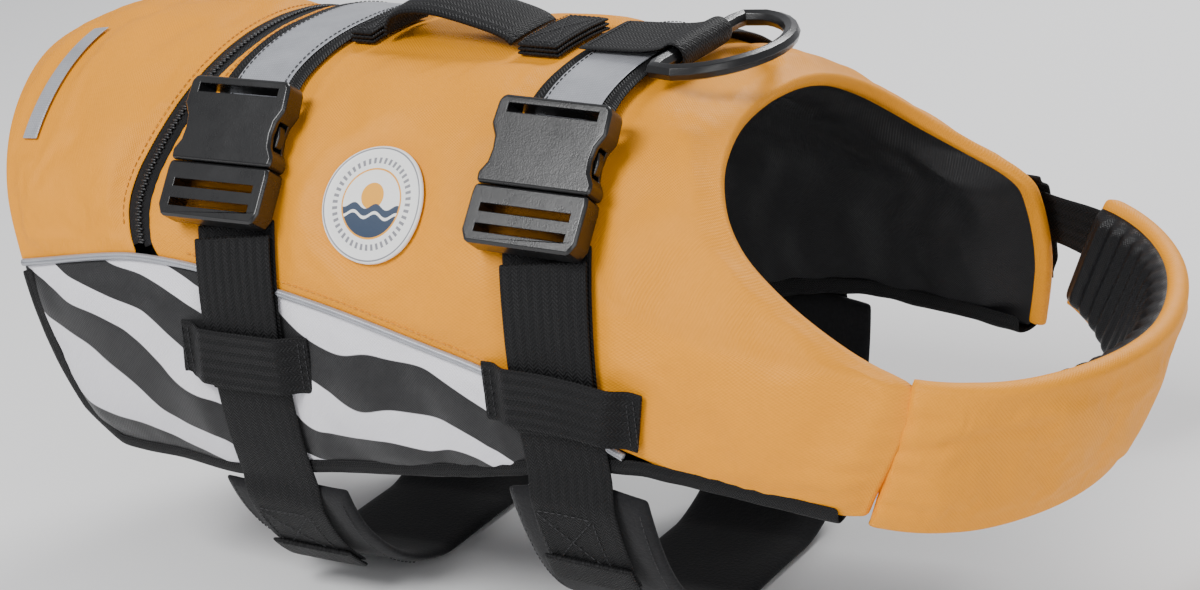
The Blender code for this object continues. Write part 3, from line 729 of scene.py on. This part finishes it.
def held(x, angle):
    """1 where the cover is sewn or pressed down by what lies on it, falling to 0 over a distance."""
    away = [x - curve(ZIP, np.abs(angle)), (curve(COVER_LOW, x) - np.abs(angle)) * DEGREE,
            to_neck(x, angle) - 0.002]
    for strap_x, *_ in STRAP_END.values():
        away.append(np.abs(x - strap_line(strap_x, angle)) - WEB / 2 - 0.001)
        away.append(np.hypot(beyond(x, strap_x + 0.011, 0.034), (angle + 90) * DEGREE) - 0.012)
    away.append(np.hypot(x - BADGE[0], (angle - BADGE[1]) * DEGREE) - BADGE_R)
    for middle, half, wide in (HANDLE_PRESS, RING_PRESS):
        away.append(np.maximum(np.abs(x - middle) - half, np.abs(angle) * DEGREE - wide))
    return near(*away)


def cover():
    """The main cover, in one piece from the right edge over the spine to the left."""
    x, angle = both_sides(patch(inset(ZIP, -ZIP_HALF), inset(NECK, 0.0006), COVER_LOW, 0.0, 84, 54),
                          patch(inset(ZIP, -ZIP_HALF), inset(NECK_LEFT, 0.0006), COVER_LOW, 0.0, 84, 54, 1))
    points, normal = around(hull, x, angle)
    hold = held(x, angle)
    to_seam = np.where(angle < 0, curve(NECK, -angle), 1.0) - x
    pucker = 0.0024 * np.exp(-to_seam / 0.018) * smooth(-angle, 68, 74) * smooth(to_seam, 0.0, 0.003)
    pucker = pucker * gathers(angle * 0.62 + 1.1 * waves(points, 0.05, 3))
    drop = 0.0028
    dip = -drop * np.exp(-to_neck(x, angle) / 0.0065)
    puff = (0.0016 + 0.0007 * waves(points, 0.045, 11)) * (1 - hold) - 0.0004 * hold + pucker + dip
    grid = rolled(points + normal * puff[..., None], normal[-1], LIP - drop, 0.0024, 0.004)
    rows, cols = grid.shape[:2]
    hold = np.concatenate([hold, np.ones((rows - hold.shape[0], cols))])
    obj = skin("cover", grid, GOLD, "vest",
               ("cover_right", "cover_left", "foam_right", "foam_left", "foam_back", "neck_binding"))
    fill_out(obj, grid, hold, 3.0, 0.014, 0.0045)
    thicken(obj)


def rear_cover():
    """The rear panel behind the zip, its hem rolled over the foam."""
    right = patch(TAIL, inset(ZIP, ZIP_HALF + 0.0003), tuple((x, a - 0.5) for x, a in PIPE[:4]), 0.0, 30, 46)
    x, angle = both_sides(right, (right[0], -right[1]))
    points, normal = around(hull, x, angle)
    zip_gap = curve(ZIP, np.abs(angle)) - x - ZIP_HALF
    edge = np.minimum((curve(PIPE, x) - np.abs(angle)) * DEGREE, x - curve(TAIL, np.abs(angle)))
    past_bar = beyond(angle, (BAR_FROM + BAR_TO) / 2, (BAR_TO - BAR_FROM) / 2 + 1) * DEGREE
    on_bar = 1 - smooth(np.hypot(beyond(x, BAR_X, 0.006), past_bar), 0.001, SEAM_FALL)
    hold = np.maximum(near(zip_gap, edge), on_bar)
    folds = 0.0012 * np.sin((x + 0.25) * 150 + angle * 0.09) * smooth(np.abs(angle), 10, 60)
    puff = (0.0014 + folds + 0.0006 * waves(points, 0.05, 21)) * (1 - hold) - 0.0003
    grid = (points + normal * puff[..., None])[::-1]
    grid = rolled(grid, normal[0], DEEP, 0.0028, 0.006)[::-1]
    rows, cols = grid.shape[:2]
    hold = np.concatenate([np.ones((rows - hold.shape[0], cols)), hold])
    obj = skin("rear_panel", grid, GOLD, "vest", ("rear_cover", "foam_rear", "rear_binding"))
    fill_out(obj, grid, hold, 2.0, 0.022, 0.0045)
    thicken(obj)


def side_panels():
    """The printed lower panels."""
    print_cloth = banded("banded_print")
    top = tuple((x, a + 0.5) for x, a in PIPE)
    for word, side in SIDES:
        x, angle = patch(TAIL, PRINT_FRONT, HEM, top, 76, 26, side)
        points, normal = around(hull, x, angle)
        share = np.linspace(0, 1, 27)[None, :]
        straps = [np.abs(x - strap_line(strap_x, angle)) - WEB / 2 for strap_x, *_ in STRAP_END.values()]
        tail_gap = x - curve(TAIL, np.abs(angle))
        hold = near(np.minimum(share, 1 - share) * 0.07, tail_gap, PRINT_FRONT - x, *straps)
        puff = (0.0016 + 0.0009 * waves(points, 0.045, 31 + side)) * (1 - hold) - 0.0003
        grid = points + normal * puff[..., None]
        if side > 0:
            grid, hold = grid[:, ::-1], hold[:, ::-1]
        obj = skin("print_panel_" + word, grid, print_cloth, "vest", "side_panel_" + word)
        fill_out(obj, grid, hold, 2.5, 0.006, 0.0028)
        thicken(obj)


def lining():
    """The black lining inside the shell, a little slack between its seams."""
    dark = cloth("lining_cloth", LINING_BLACK, 0.0006, 0.40, 0.04, 0.0012)
    for word, side, neck in (("right", -1, NECK), ("left", 1, NECK_LEFT)):
        x, angle = patch(inset(TAIL, -0.003), inset(neck, 0.003), HEM, 0.0, 70, 40, side)
        points, normal = around(hull, x, angle)
        share = np.linspace(0, 1, 41)[None, :]
        ends = np.minimum(np.minimum(share, 1 - share) * 0.15, np.minimum(x - x[0], x[-1] - x) + 0.0005)
        hold = 1 - smooth(ends, 0.0, 0.012)
        folds = 0.0005 * np.sin(x * 260 + 3 * waves(points, 0.08, 43))
        wrinkle = 0.0016 * waves(points, 0.04, 41 + side) + folds
        slack = (0.002 + wrinkle) * (1 - hold)
        at_neck = smooth(x[-1] - x, 0.0, 0.022)
        grid = points - normal * (LIP + (DEEP - LIP + slack) * at_neck)[..., None]
        if side < 0:
            grid, hold = grid[:, ::-1], hold[:, ::-1]
        obj = skin("shell_lining_" + word, grid, dark, "vest", "lining_" + word, 0.0004)
        fill_out(obj, grid, hold, 1.5, 0.010, 0.0030)
        thicken(obj)


def bindings():
    """The folded tape round the shell's lower and rear edges: over the top, round and under."""
    tape = webbing("edge_tape", BLACK, 0.0012)
    lap = 0.006
    for word, side in SIDES:
        x = np.linspace(0.122 if side < 0 else 0.112, -0.2225, 110)
        tail = np.linspace(113, 78.5, 26)
        corner = 1.3 * np.clip((-0.19 - x) / 0.03, 0, 1)
        u = np.concatenate([x, curve(TAIL, tail) - 0.0006])
        v = np.concatenate([curve(HEM, x) + 0.15 + corner, tail])
        points, normal = around(hull, u, side * v)
        out = np.cross(normal, heading(points)) * -side
        rows = [points - out * lap + normal * 0.0006, points - out * lap * 0.4 + normal * 0.0010]
        bulge = 0.0026 + 0.0004 * waves(points, 0.012, 5)[:, None]
        for turn in np.radians(np.linspace(0, 180, 9)):
            rise = normal * (DEEP / 2 + 0.0008) * math.cos(turn)
            rows.append(points - normal * DEEP / 2 + rise + out * bulge * math.sin(turn))
        rows.append(points - out * lap - normal * (DEEP + 0.0012))
        grid = np.stack(rows, 1)
        if side > 0:
            grid = grid[:, ::-1]
        thicken(skin("hem_edge_" + word, grid, tape, "vest", "hem_binding_" + word, 0.0006))


def piping():
    """Reflective piping along the colour change."""
    radius = 0.0013
    mat = reflector("piping_tape")
    for word, side in SIDES:
        x = np.linspace(-0.2545, 0.036, 120)
        points, normal = around(hull, x, side * curve(PIPE, x))
        lateral = np.cross(normal, heading(points))
        turns = np.linspace(0, 2 * math.pi, 9)
        middle = points + normal * 0.0003
        ring = [middle + normal * radius * math.cos(t) + lateral * radius * math.sin(t) for t in turns]
        grid = np.stack(ring, 1)
        obj = skin("reflective_piping_" + word, grid[:, ::-1], mat, "vest", "piping_" + word, 0.0003)
        thicken(obj, smoothed=False)


# Straps and hardware

STRAP = webbing("strap_webbing")
THREAD = moulded("black_thread", (0.02, 0.02, 0.022), 0.6)
GOLD_THREAD = moulded("gold_thread", (0.62, 0.24, 0.01), 0.6)


def box_stitch(u0, u1, v0, v1, lift):
    """A sewn rectangle on the hull, with its two diagonals."""
    corners = [(u0, v0), (u1, v0), (u1, v1), (u0, v1), (u0, v0), (u1, v1)]
    pairs = list(zip(corners[:-1], corners[1:])) + [((u1, v0), (u0, v1))]
    return [seam(hull, np.linspace(a[0], b[0], 14), np.linspace(a[1], b[1], 14), lift) for a, b in pairs]


def girth(name):
    """One girth strap: webbing over the back and down both sides, its reflective tape and belly pad."""
    x, female_end, male_end = STRAP_END[name]
    hem = float(curve(HEM, x))
    reach = hem + 26

    def over_pad(angle):
        return PAD_LIFT * smooth(np.abs(angle), hem - 1, hem + 6)

    angle = np.linspace(-female_end, reach, 90)
    laid("strap_over_" + name, strap_line(x, angle), angle, WEB, GAP, WEB_T, STRAP, "vest",
         "girth_webbing_" + name, lift=over_pad(angle), ripple=0.0002)
    tape = np.linspace(-female_end + 3.0, 84.0, 60)
    laid("strap_reflector_" + name, strap_line(x, tape), tape, 0.026, GAP + WEB_T, 0.0006,
         reflector("reflective_tape_" + name), "vest", "reflective_tape_" + name, ripple=0.00015)
    angle = np.linspace(-reach, -male_end, 60)
    lower = laid("strap_under_" + name, strap_line(x, angle), angle, WEB, GAP, WEB_T, STRAP, None,
                 "belly_webbing_" + name, lift=over_pad(angle), ripple=0.0002)
    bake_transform(lower)
    for word, side in SIDES:
        fold = side * np.linspace(hem + 19.5, hem + 26.5, 16)
        laid("strap_fold_%s_%s" % (name, word), strap_line(x, fold), fold, WEB + 0.0012,
             GAP + PAD_LIFT + WEB_T, 0.0024, STRAP, "vest")
    angle = np.linspace(-97.5, -male_end - 3, 40)
    lift = 0.0024 + 0.0006 * np.sin((angle + 75) * 0.12)
    tail = laid("strap_tail_" + name, strap_line(x, angle), angle, WEB - 0.0006, GAP, WEB_T, STRAP, None,
                lift=lift)
    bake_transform(tail)
    lines = [seam(hull, strap_line(x, tape) + s * 0.0115, tape, GAP + WEB_T + 0.0007) for s in (-1, 1)]
    middle, half = x + 0.006, 0.013
    for side in (-1, 1):
        lines += box_stitch(middle - half, middle + half, side * (hem + 8), side * (hem + 22),
                            GAP + PAD_LIFT + WEB_T + 0.0001)
    stitches("strap_stitching_" + name, lines, "vest", THREAD)
    belly_pad(name, x, hem)


def belly_pad(name, x, hem):
    """A soft pad under the belly, wider than its strap, flat where it rests."""
    mat = fleece("belly_neoprene_" + name, (0.008, 0.008, 0.009), 700.0)
    across = np.linspace(-PAD / 2, PAD / 2, 25)
    start = np.maximum(curve(HEM, x + across) + 2.0, hem + 1.0)[:, None]
    rise = start + (164 - start) * np.linspace(0, 1, 36)
    v = np.hstack([rise, np.tile(np.linspace(166, 194, 17), (25, 1)), 360 - rise[:, ::-1]])
    u = across[:, None] + strap_line(x, np.where(v > 180, v - 360, v))
    points, normal = around(hull, u, v)
    rows, cols = v.shape
    outer = points + normal * 0.0019
    outer[..., 2] = np.maximum(outer[..., 2], 0.0002)
    wave = 0.0007 * waves(points, 0.05, 51) * smooth(np.abs(across)[:, None] + 0 * v, 0.01, 0.03)
    wave = wave * smooth(points[..., 2], 0.004, 0.02)
    half = 0.0022
    middle = outer - normal * (half - wave)[..., None]
    half = half * rim_of(rows, cols, 0.12, 0.03)
    obj = closed("belly_cushion_" + name, middle, normal, half, mat, "vest", "belly_pad_" + name)
    run = np.linspace(hem + 4, 158, 60)
    lines = [seam(hull, strap_line(x + s * (PAD / 2 - 0.004), side * run), side * run, 0.0021)
             for s in (-1, 1) for side in (-1, 1)]
    stitches("belly_stitching_" + name, lines, "vest", THREAD)


def keeper(name, x, half):
    """A loop of webbing sewn across the strap, which runs under it."""
    run = np.linspace(x - half, x + half, 56)
    rise = 0.0046 * smooth(half - 0.0045 - np.abs(run - x), 0.0, 0.009)
    laid("strap_keeper_" + name, run, np.full(56, -90.0), 0.024, GAP, 0.0016, STRAP, "vest",
         "keeper_" + name, lift=rise)
    lines = [seam(hull, np.full(12, x + s * (half - a)), np.linspace(-96, -84, 12), GAP + 0.0017)
             for s in (-1, 1) for a in (0.0015, 0.0045)]
    stitches("keeper_stitching_" + name, lines, "vest", THREAD, 0.0022, 0.0015)


def rounded(names, mat, width):
    """CAD hardware kept as it is, with its edges rounded."""
    for name in names:
        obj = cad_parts[name]
        obj.data.materials.clear()
        obj.data.materials.append(mat)
        weld = obj.modifiers.new("weld", "WELD")
        weld.merge_threshold = 0.00002
        add = obj.modifiers.new("edge", "BEVEL")
        add.width = width
        add.segments = 3
        add.limit_method = "ANGLE"
        add.angle_limit = math.radians(28)
        flat = obj.modifiers.new("normals", "WEIGHTED_NORMAL")
        flat.keep_sharp = True
        obj.data.shade_smooth()


def hardware():
    nylon = moulded("buckle_nylon", NYLON_BLACK, 0.26)
    for name in ("front", "rear"):
        rounded(["buckle_socket_" + name, "buckle_plug_" + name], nylon, 0.0005)
        rounded(["buckle_arm_%s_%s" % (name, end) for end in ("front", "rear")], nylon, 0.0004)
    rounded(["lead_ring"], moulded("ring_nylon", NYLON_BLACK, 0.26), 0.0003)
    rounded(["zip_slider", "zip_pull"], moulded("slider_enamel", (0.02, 0.02, 0.021), 0.25), 0.00025)


def zip_line_pieces():
    """The zip's two tapes and its two rows of teeth."""
    tape = webbing("zip_tape", (0.010, 0.010, 0.011), 0.0009)
    angle = np.linspace(-ZIP_END, ZIP_END, 150)
    for word, side in (("front", 1), ("rear", -1)):
        laid("zip_web_" + word, curve(ZIP, np.abs(angle)) + side * 0.0029, angle, 0.0044, -0.0009, 0.0008,
             tape, "vest", "zip_tape_" + word)
    fine = np.linspace(-ZIP_END, ZIP_END, 1200)
    line = curve(ZIP, np.abs(fine)), fine
    points, normal = around(hull, *line)
    along = unit(directions(hull, *line)[0])
    run = travelled(points)
    made, faces = [], []
    pitch = 0.00115
    turns = np.linspace(0, 2 * math.pi, 8, endpoint=False)
    for k, s in enumerate(np.arange(0.001, run[-1] - 0.001, pitch)):
        at, up, x = (between(run, rows, s) for rows in (points, normal, along))
        side = 1 if k % 2 else -1
        base = len(made)
        high, wide = up * TOOTH_HIGH, np.cross(up, x) * TOOTH_WIDE
        for share, size in ((-0.0009, 0.5), (-0.0005, 1.0), (0.0012, 1.0), (0.0018, 0.6)):
            centre = at + x * side * share + up * 0.0003
            made += [centre + size * (high * math.sin(t) + wide * math.cos(t)) for t in turns]
        for ring in range(3):
            for i in range(8):
                a, b = base + 8 * ring + i, base + 8 * ring + (i + 1) % 8
                faces.append((a, b, b + 8, a + 8) if side > 0 else (a, a + 8, b + 8, b))
        for start, turn in ((base, -side), (base + 24, side)):
            for i in (0, 2, 4):
                faces.append((start, start + i + 1, start + i + 2, start + (i + 3) % 8)[::turn])
    coil = moulded("zip_coil", (0.018, 0.018, 0.019), 0.35)
    mesh_of("zip_teeth", made, faces, None, coil, "vest", "zip_chain")


def handle():
    """The grab handle's webbing, its sewn ends, and the folds that they are made of."""
    # x and height over the spine
    arch = [(-0.1120, 0.0028), (-0.1118, 0.0062), (-0.1090, 0.0105), (-0.1030, 0.0130), (-0.0950, 0.0138),
            (-0.0860, 0.0132), (-0.0770, 0.0115), (-0.0680, 0.0095), (-0.0600, 0.0075), (-0.0540, 0.0053),
            (-0.0512, 0.0028)]
    share = np.linspace(0, len(arch) - 1, 60)
    known = np.arange(len(arch))
    x = eased(np.interp(share, known, [a for a, _ in arch]), 4)
    lift = eased(np.interp(share, known, [b for _, b in arch]), 4)
    points = hull(x, 0.0) + np.stack([0 * x, 0 * x, lift], -1)
    normal = unit(np.cross(np.gradient(points, axis=0), (0, 1, 0)))
    normal *= np.sign(normal[30, 2])
    ribbon("grab_webbing", points, normal, 0.034, 0.0030, STRAP, "grab_handle", "handle_webbing",
           curl=-0.0016)
    edge = [(points + normal * 0.0026 + (0, s * 0.0125, -0.0009), normal) for s in (-1, 1)]
    stitches("grab_stitching", edge, "grab_handle", THREAD)
    lines = []
    for word, low, high in (("rear", -0.1275, -0.1160), ("front", -0.0470, -0.0275)):
        angle = np.linspace(-10.6, 10.6, 25)
        for layer in range(3):
            laid("handle_fold_%s_%d" % (word, layer), np.full(25, (low + high) / 2), angle,
                 high - low - 0.0006 * layer, GAP + 0.0018 * layer, 0.0017, STRAP, "vest",
                 () if layer else "handle_anchor_" + word)
        lines += box_stitch(low + 0.0018, high - 0.0018, -9, 9, GAP + 0.0055)
    stitches("handle_stitching", lines, "vest", THREAD, 0.0022, 0.0015)


def ring_tab():
    """The webbing that holds the lead ring, folded round its bar."""
    low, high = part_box("lead_ring")
    z, thick = (low.z + high.z) / 2, high.z - low.z
    bar = low.x + thick / 2
    rest = float(hull(0.0, 0.0)[2]) + 2 * WEB_T + GAP
    points = [(bar - a, 0.0, rest) for a in (0.043, 0.037, 0.030, 0.023, 0.016, 0.010)]
    turns = np.radians(np.linspace(150, -95, 26))
    inner = thick / 2 + 0.0009
    points += [(bar + inner * math.cos(t), 0.0, z + inner * math.sin(t)) for t in turns]
    points = eased(np.array(points), 2)
    normal = unit(np.cross(np.gradient(points, axis=0), (0, 1, 0)))
    normal *= np.sign(normal[2, 2])
    ribbon("ring_webbing", points, normal, WEB, 0.0016, STRAP, "vest", "lead_ring_tab")
    lines = [(np.array([(bar - a, y, rest + 0.0017) for y in np.linspace(-0.017, 0.017, 14)]),
              np.tile((0.0, 0.0, 1.0), (14, 1))) for a in (0.0115, 0.0145, 0.039)]
    stitches("ring_stitching", lines, "vest", THREAD, 0.0022, 0.0015)


# The chest band

def chest_band():
    """The padded band: gold outside and over its edges, gathered black cloth inside."""
    rows, cols = 130, 20
    start = BAND_START - 3.6
    angle, share = np.meshgrid(np.linspace(start, BAND_END, rows), np.linspace(0, 1, cols), indexing="ij")
    points, normal = around(chest, angle, share)
    inside = chest(0, 0.5) * (0, 0, 1) + (0.12, 0, 0)
    normal *= np.sign(((points - inside) * normal).sum(-1).mean())
    ends = np.minimum(angle - start, BAND_END - angle) * BAND_DEGREE
    full = domed(ends / 0.007 + 0.12)
    edges = np.minimum(share, 1 - share) * BAND_WIDTH
    near_seam = np.exp(-(angle - start) * BAND_DEGREE / 0.018) * smooth(angle - start, 0.5, 4)
    pucker = 0.0026 * near_seam * gathers(share * 19 + 1.1 * waves(points, 0.05, 61))
    patch_gap = np.hypot(beyond(angle, 47, 15) * BAND_DEGREE, beyond(share, STRAP_SHARE, 0.33) * BAND_WIDTH)
    before_strap = np.maximum(69 - angle, 0) * BAND_DEGREE
    strap_gap = np.hypot(before_strap, beyond(share, STRAP_SHARE, 0.24) * BAND_WIDTH)
    hold = near(ends, edges, patch_gap, strap_gap)
    wrinkle = 0.0008 * waves(points * (1, 1, 0.35), 0.030, 62)
    puff = -BAND_DEEP / 2 * (1 - full) + (0.0012 + wrinkle) * (1 - hold) + pucker
    grid = points + normal * puff[..., None]
    depth = 0.55 * BAND_DEEP * full[:, 0] + 0.0004
    turned = rolled(grid.transpose(1, 0, 2), normal[:, -1], depth, 0.0030, 0.003)
    turned = rolled(turned[::-1], normal[:, 0], depth, 0.0030, 0.003)[::-1]
    sewn = np.ones((rows, (len(turned) - cols) // 2))
    hold = np.hstack([sewn, hold, sewn])
    grid = turned.transpose(1, 0, 2)
    outer = skin("band_cover", grid, GOLD, None, ("chest_cover", "chest_foam"))
    facing(outer, inside)
    fill_out(outer, grid, hold, 2.5, 0.025, 0.0045)
    pleat = 0.0011 * np.sin(angle * 0.95 + 1.6 * waves(points, 0.05, 63)) * smooth(edges, 0.0, 0.006)
    swell = 0.55 + 0.45 * domed(edges / 0.009)
    low = BAND_DEEP * (1 - full) / 2 + BAND_DEEP * full * swell - 0.0002
    grid = points - normal * (low + pleat * full)[..., None]
    dark = cloth("band_lining_cloth", LINING_BLACK, 0.0006, 0.36, 0.04, 0.0009)
    inner = skin("band_lining", grid[:, ::-1], dark, None, "chest_lining", 0.0004)
    facing(inner, inside, -1)
    for obj in (outer, inner):
        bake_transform(obj)
        thicken(obj)


def facing(obj, centre, way=1):
    """Turns a surface's faces away from a centre, or towards it."""
    mesh = obj.data
    total = sum((face.center - Vector(centre)).dot(face.normal) * face.area for face in mesh.polygons)
    if total * way < 0:
        mesh.flip_normals()
        mesh.update()


def closure():
    """The hook-and-loop closure on the left: shoulder loop, strap, loop patch and tab."""
    angle = np.linspace(LOOP_ANGLE - 13, LOOP_ANGLE + 13, 40)
    rise = 0.0048 * smooth(11.8 - np.abs(angle - LOOP_ANGLE), 0, 3.2)
    laid("shoulder_loop", np.full(40, LOOP_X), angle, 0.018, GAP, 0.0018, STRAP, "vest", "closure_loop",
         lift=rise)
    # The strap runs from under the loop along the hull, leaves out the corner, and goes on round the band
    thick = 0.0016
    on_hull = hull, np.linspace(0.0955, 0.1180, 14)[:-1], np.full(13, 76.0)
    on_band = chest, np.linspace(79.0, 64.0, 14)[1:], np.full(13, STRAP_SHARE)
    at_hull, out = around(*on_hull)
    at_band, away = around(*on_band)
    across = unit(np.concatenate([directions(*on_hull)[1], -directions(*on_band)[1]]))
    points = eased(np.concatenate([at_hull + thick * out, at_band + thick * away]), 6)
    normal = unit(np.cross(np.gradient(points, axis=0), across))
    normal *= np.sign((normal * np.concatenate([out, away])).sum())
    ribbon("closure_strap", points, normal, 0.022, thick, STRAP, "chest_band", "cinch_strap")
    loops = fleece("loop_pile", (0.020, 0.020, 0.022), 1500.0)
    hooks = fleece("hook_cloth", (0.012, 0.012, 0.013), 2400.0, 0.7)
    pile = 0.0010
    for name, u, v, low, thick, mat, body, cad in (
            ("loop_field", (32, 61), (0.30, 0.94), GAP, pile, loops, "chest_band", "loop_patch"),
            ("tab", (40, 61), (0.36, 0.90), 2 * GAP + pile, 0.0016, hooks, "hook_tab", "hook_tab")):
        grid_u, grid_v = np.meshgrid(np.linspace(*u, 30), np.linspace(*v, 16), indexing="ij")
        points, out = around(chest, grid_u, grid_v)
        out *= np.sign((out[0, 0] * (points[0, 0] - (0.12, 0, 0.1))).sum())
        middle = points + out * (low + thick / 2)
        closed(name, middle, out, thick / 2 * rim_of(30, 16, 0.06, 0.10), mat, body, cad)
    line = [seam(chest, np.linspace(33, 60, 20), np.full(20, s), GAP + 0.0012) for s in (0.33, 0.91)]
    stitches("closure_stitching", line, "chest_band", THREAD)


def marks():
    """The round badge and the reflective bar."""
    per = 1.0 / np.linalg.norm(hull(BADGE[0], BADGE[1] + 0.5) - hull(BADGE[0], BADGE[1] - 0.5))
    i, j = np.meshgrid(np.linspace(-1, 1, 37), np.linspace(-1, 1, 37), indexing="ij")
    across, up = i * np.sqrt(1 - j**2 / 2) * BADGE_R, j * np.sqrt(1 - i**2 / 2) * BADGE_R
    radius = np.hypot(across, up) / BADGE_R
    points, out = around(hull, BADGE[0] + across, BADGE[1] + up * per)
    uv = np.stack([across, up], -1)
    lip = 0.0004 * smooth(radius, 0.90, 0.96) - 0.0007 * smooth(radius, 0.965, 1.0)
    middle = points + out * (GAP + 0.0008 + lip)[..., None]
    closed("side_badge", middle, out, 0.0006, badge_face("badge_face"), "vest", "badge", uv)
    angle = np.linspace(BAR_FROM, BAR_TO, 30)
    laid("rear_bar", np.full(30, BAR_X), angle, 0.0085, GAP, 0.0008, reflector("bar_tape"), "vest",
         "reflective_bar")


def topstitching():
    """Thread rows beside the zip and the piping."""
    angle = np.linspace(-66, 66, 160)
    lines = [seam(hull, curve(ZIP, np.abs(angle)) + s * 0.0080, angle, 0.0004) for s in (-1, 1)]
    for side in (-1, 1):
        x = np.linspace(-0.165, 0.036, 90)
        lines.append(seam(hull, x, side * (curve(PIPE, x) - 2.6), 0.0004))
    stitches("gold_stitching", lines, "vest", GOLD_THREAD)


# Stage

def stage():
    """Pale floor and soft studio lights."""
    mesh = bpy.data.meshes.new("floor")
    corners = [(x, y, -0.0005) for x, y in ((-6, -6), (6, -6), (6, 6), (-6, 6))]
    mesh.from_pydata(corners, [], [(0, 1, 2, 3)])
    floor = bpy.data.objects.new("floor", mesh)
    mat, _ = shader("floor_paper", (0.86, 0.86, 0.86), 0.85)
    mesh.materials.append(mat)
    bpy.context.scene.collection.objects.link(floor)
    world = bpy.data.worlds.new("studio")
    world.use_nodes = True
    sky = world.node_tree.nodes["Background"]
    sky.inputs["Color"].default_value = (0.95, 0.96, 1.0, 1)
    sky.inputs["Strength"].default_value = 0.50
    bpy.context.scene.world = world
    target = Vector((-0.03, 0, 0.11))
    for name, place, size, power in (("key", (-0.35, -1.15, 1.35), 0.55, 26),
                                     ("fill", (1.3, -0.9, 0.7), 0.8, 6),
                                     ("rim", (0.1, 1.3, 1.2), 0.5, 20)):
        data = bpy.data.lights.new(name, "AREA")
        data.size = size
        data.energy = power
        lamp = bpy.data.objects.new(name, data)
        lamp.location = place
        lamp.rotation_euler = (target - Vector(place)).to_track_quat("-Z", "Y").to_euler()
        bpy.context.scene.collection.objects.link(lamp)


def camera():
    """The photograph's view: from the dog's right, a little ahead and above, rolled a little."""
    azimuth, elevation, roll = math.radians(34), math.radians(20), math.radians(7)
    distance, shift = 1.3, 0.0082
    back = Vector((math.sin(azimuth) * math.cos(elevation), -math.cos(azimuth) * math.cos(elevation),
                   math.sin(elevation)))
    right = Vector((math.cos(azimuth), math.sin(azimuth), 0))
    up = back.cross(right)
    right, up = right * math.cos(roll) - up * math.sin(roll), up * math.cos(roll) + right * math.sin(roll)
    data = bpy.data.cameras.new("camera")
    data.lens = 95.55
    data.sensor_width = 36
    eye = bpy.data.objects.new("camera", data)
    eye.location = Vector((-0.045, 0, 0.115)) + back * distance + right * shift
    eye.rotation_mode = "QUATERNION"
    eye.rotation_quaternion = Matrix((right, up, back)).transposed().to_quaternion()
    bpy.context.scene.collection.objects.link(eye)
    bpy.context.scene.camera = eye


stage()
camera()
cover()
rear_cover()
side_panels()
lining()
bindings()
piping()
zip_line_pieces()
for strap in STRAP_END:
    girth(strap)
keeper("front", FRONT_X + 0.012, 0.034)
keeper("rear", REAR_X + 0.010, 0.032)
handle()
ring_tab()
chest_band()
closure()
marks()
topstitching()
hardware()
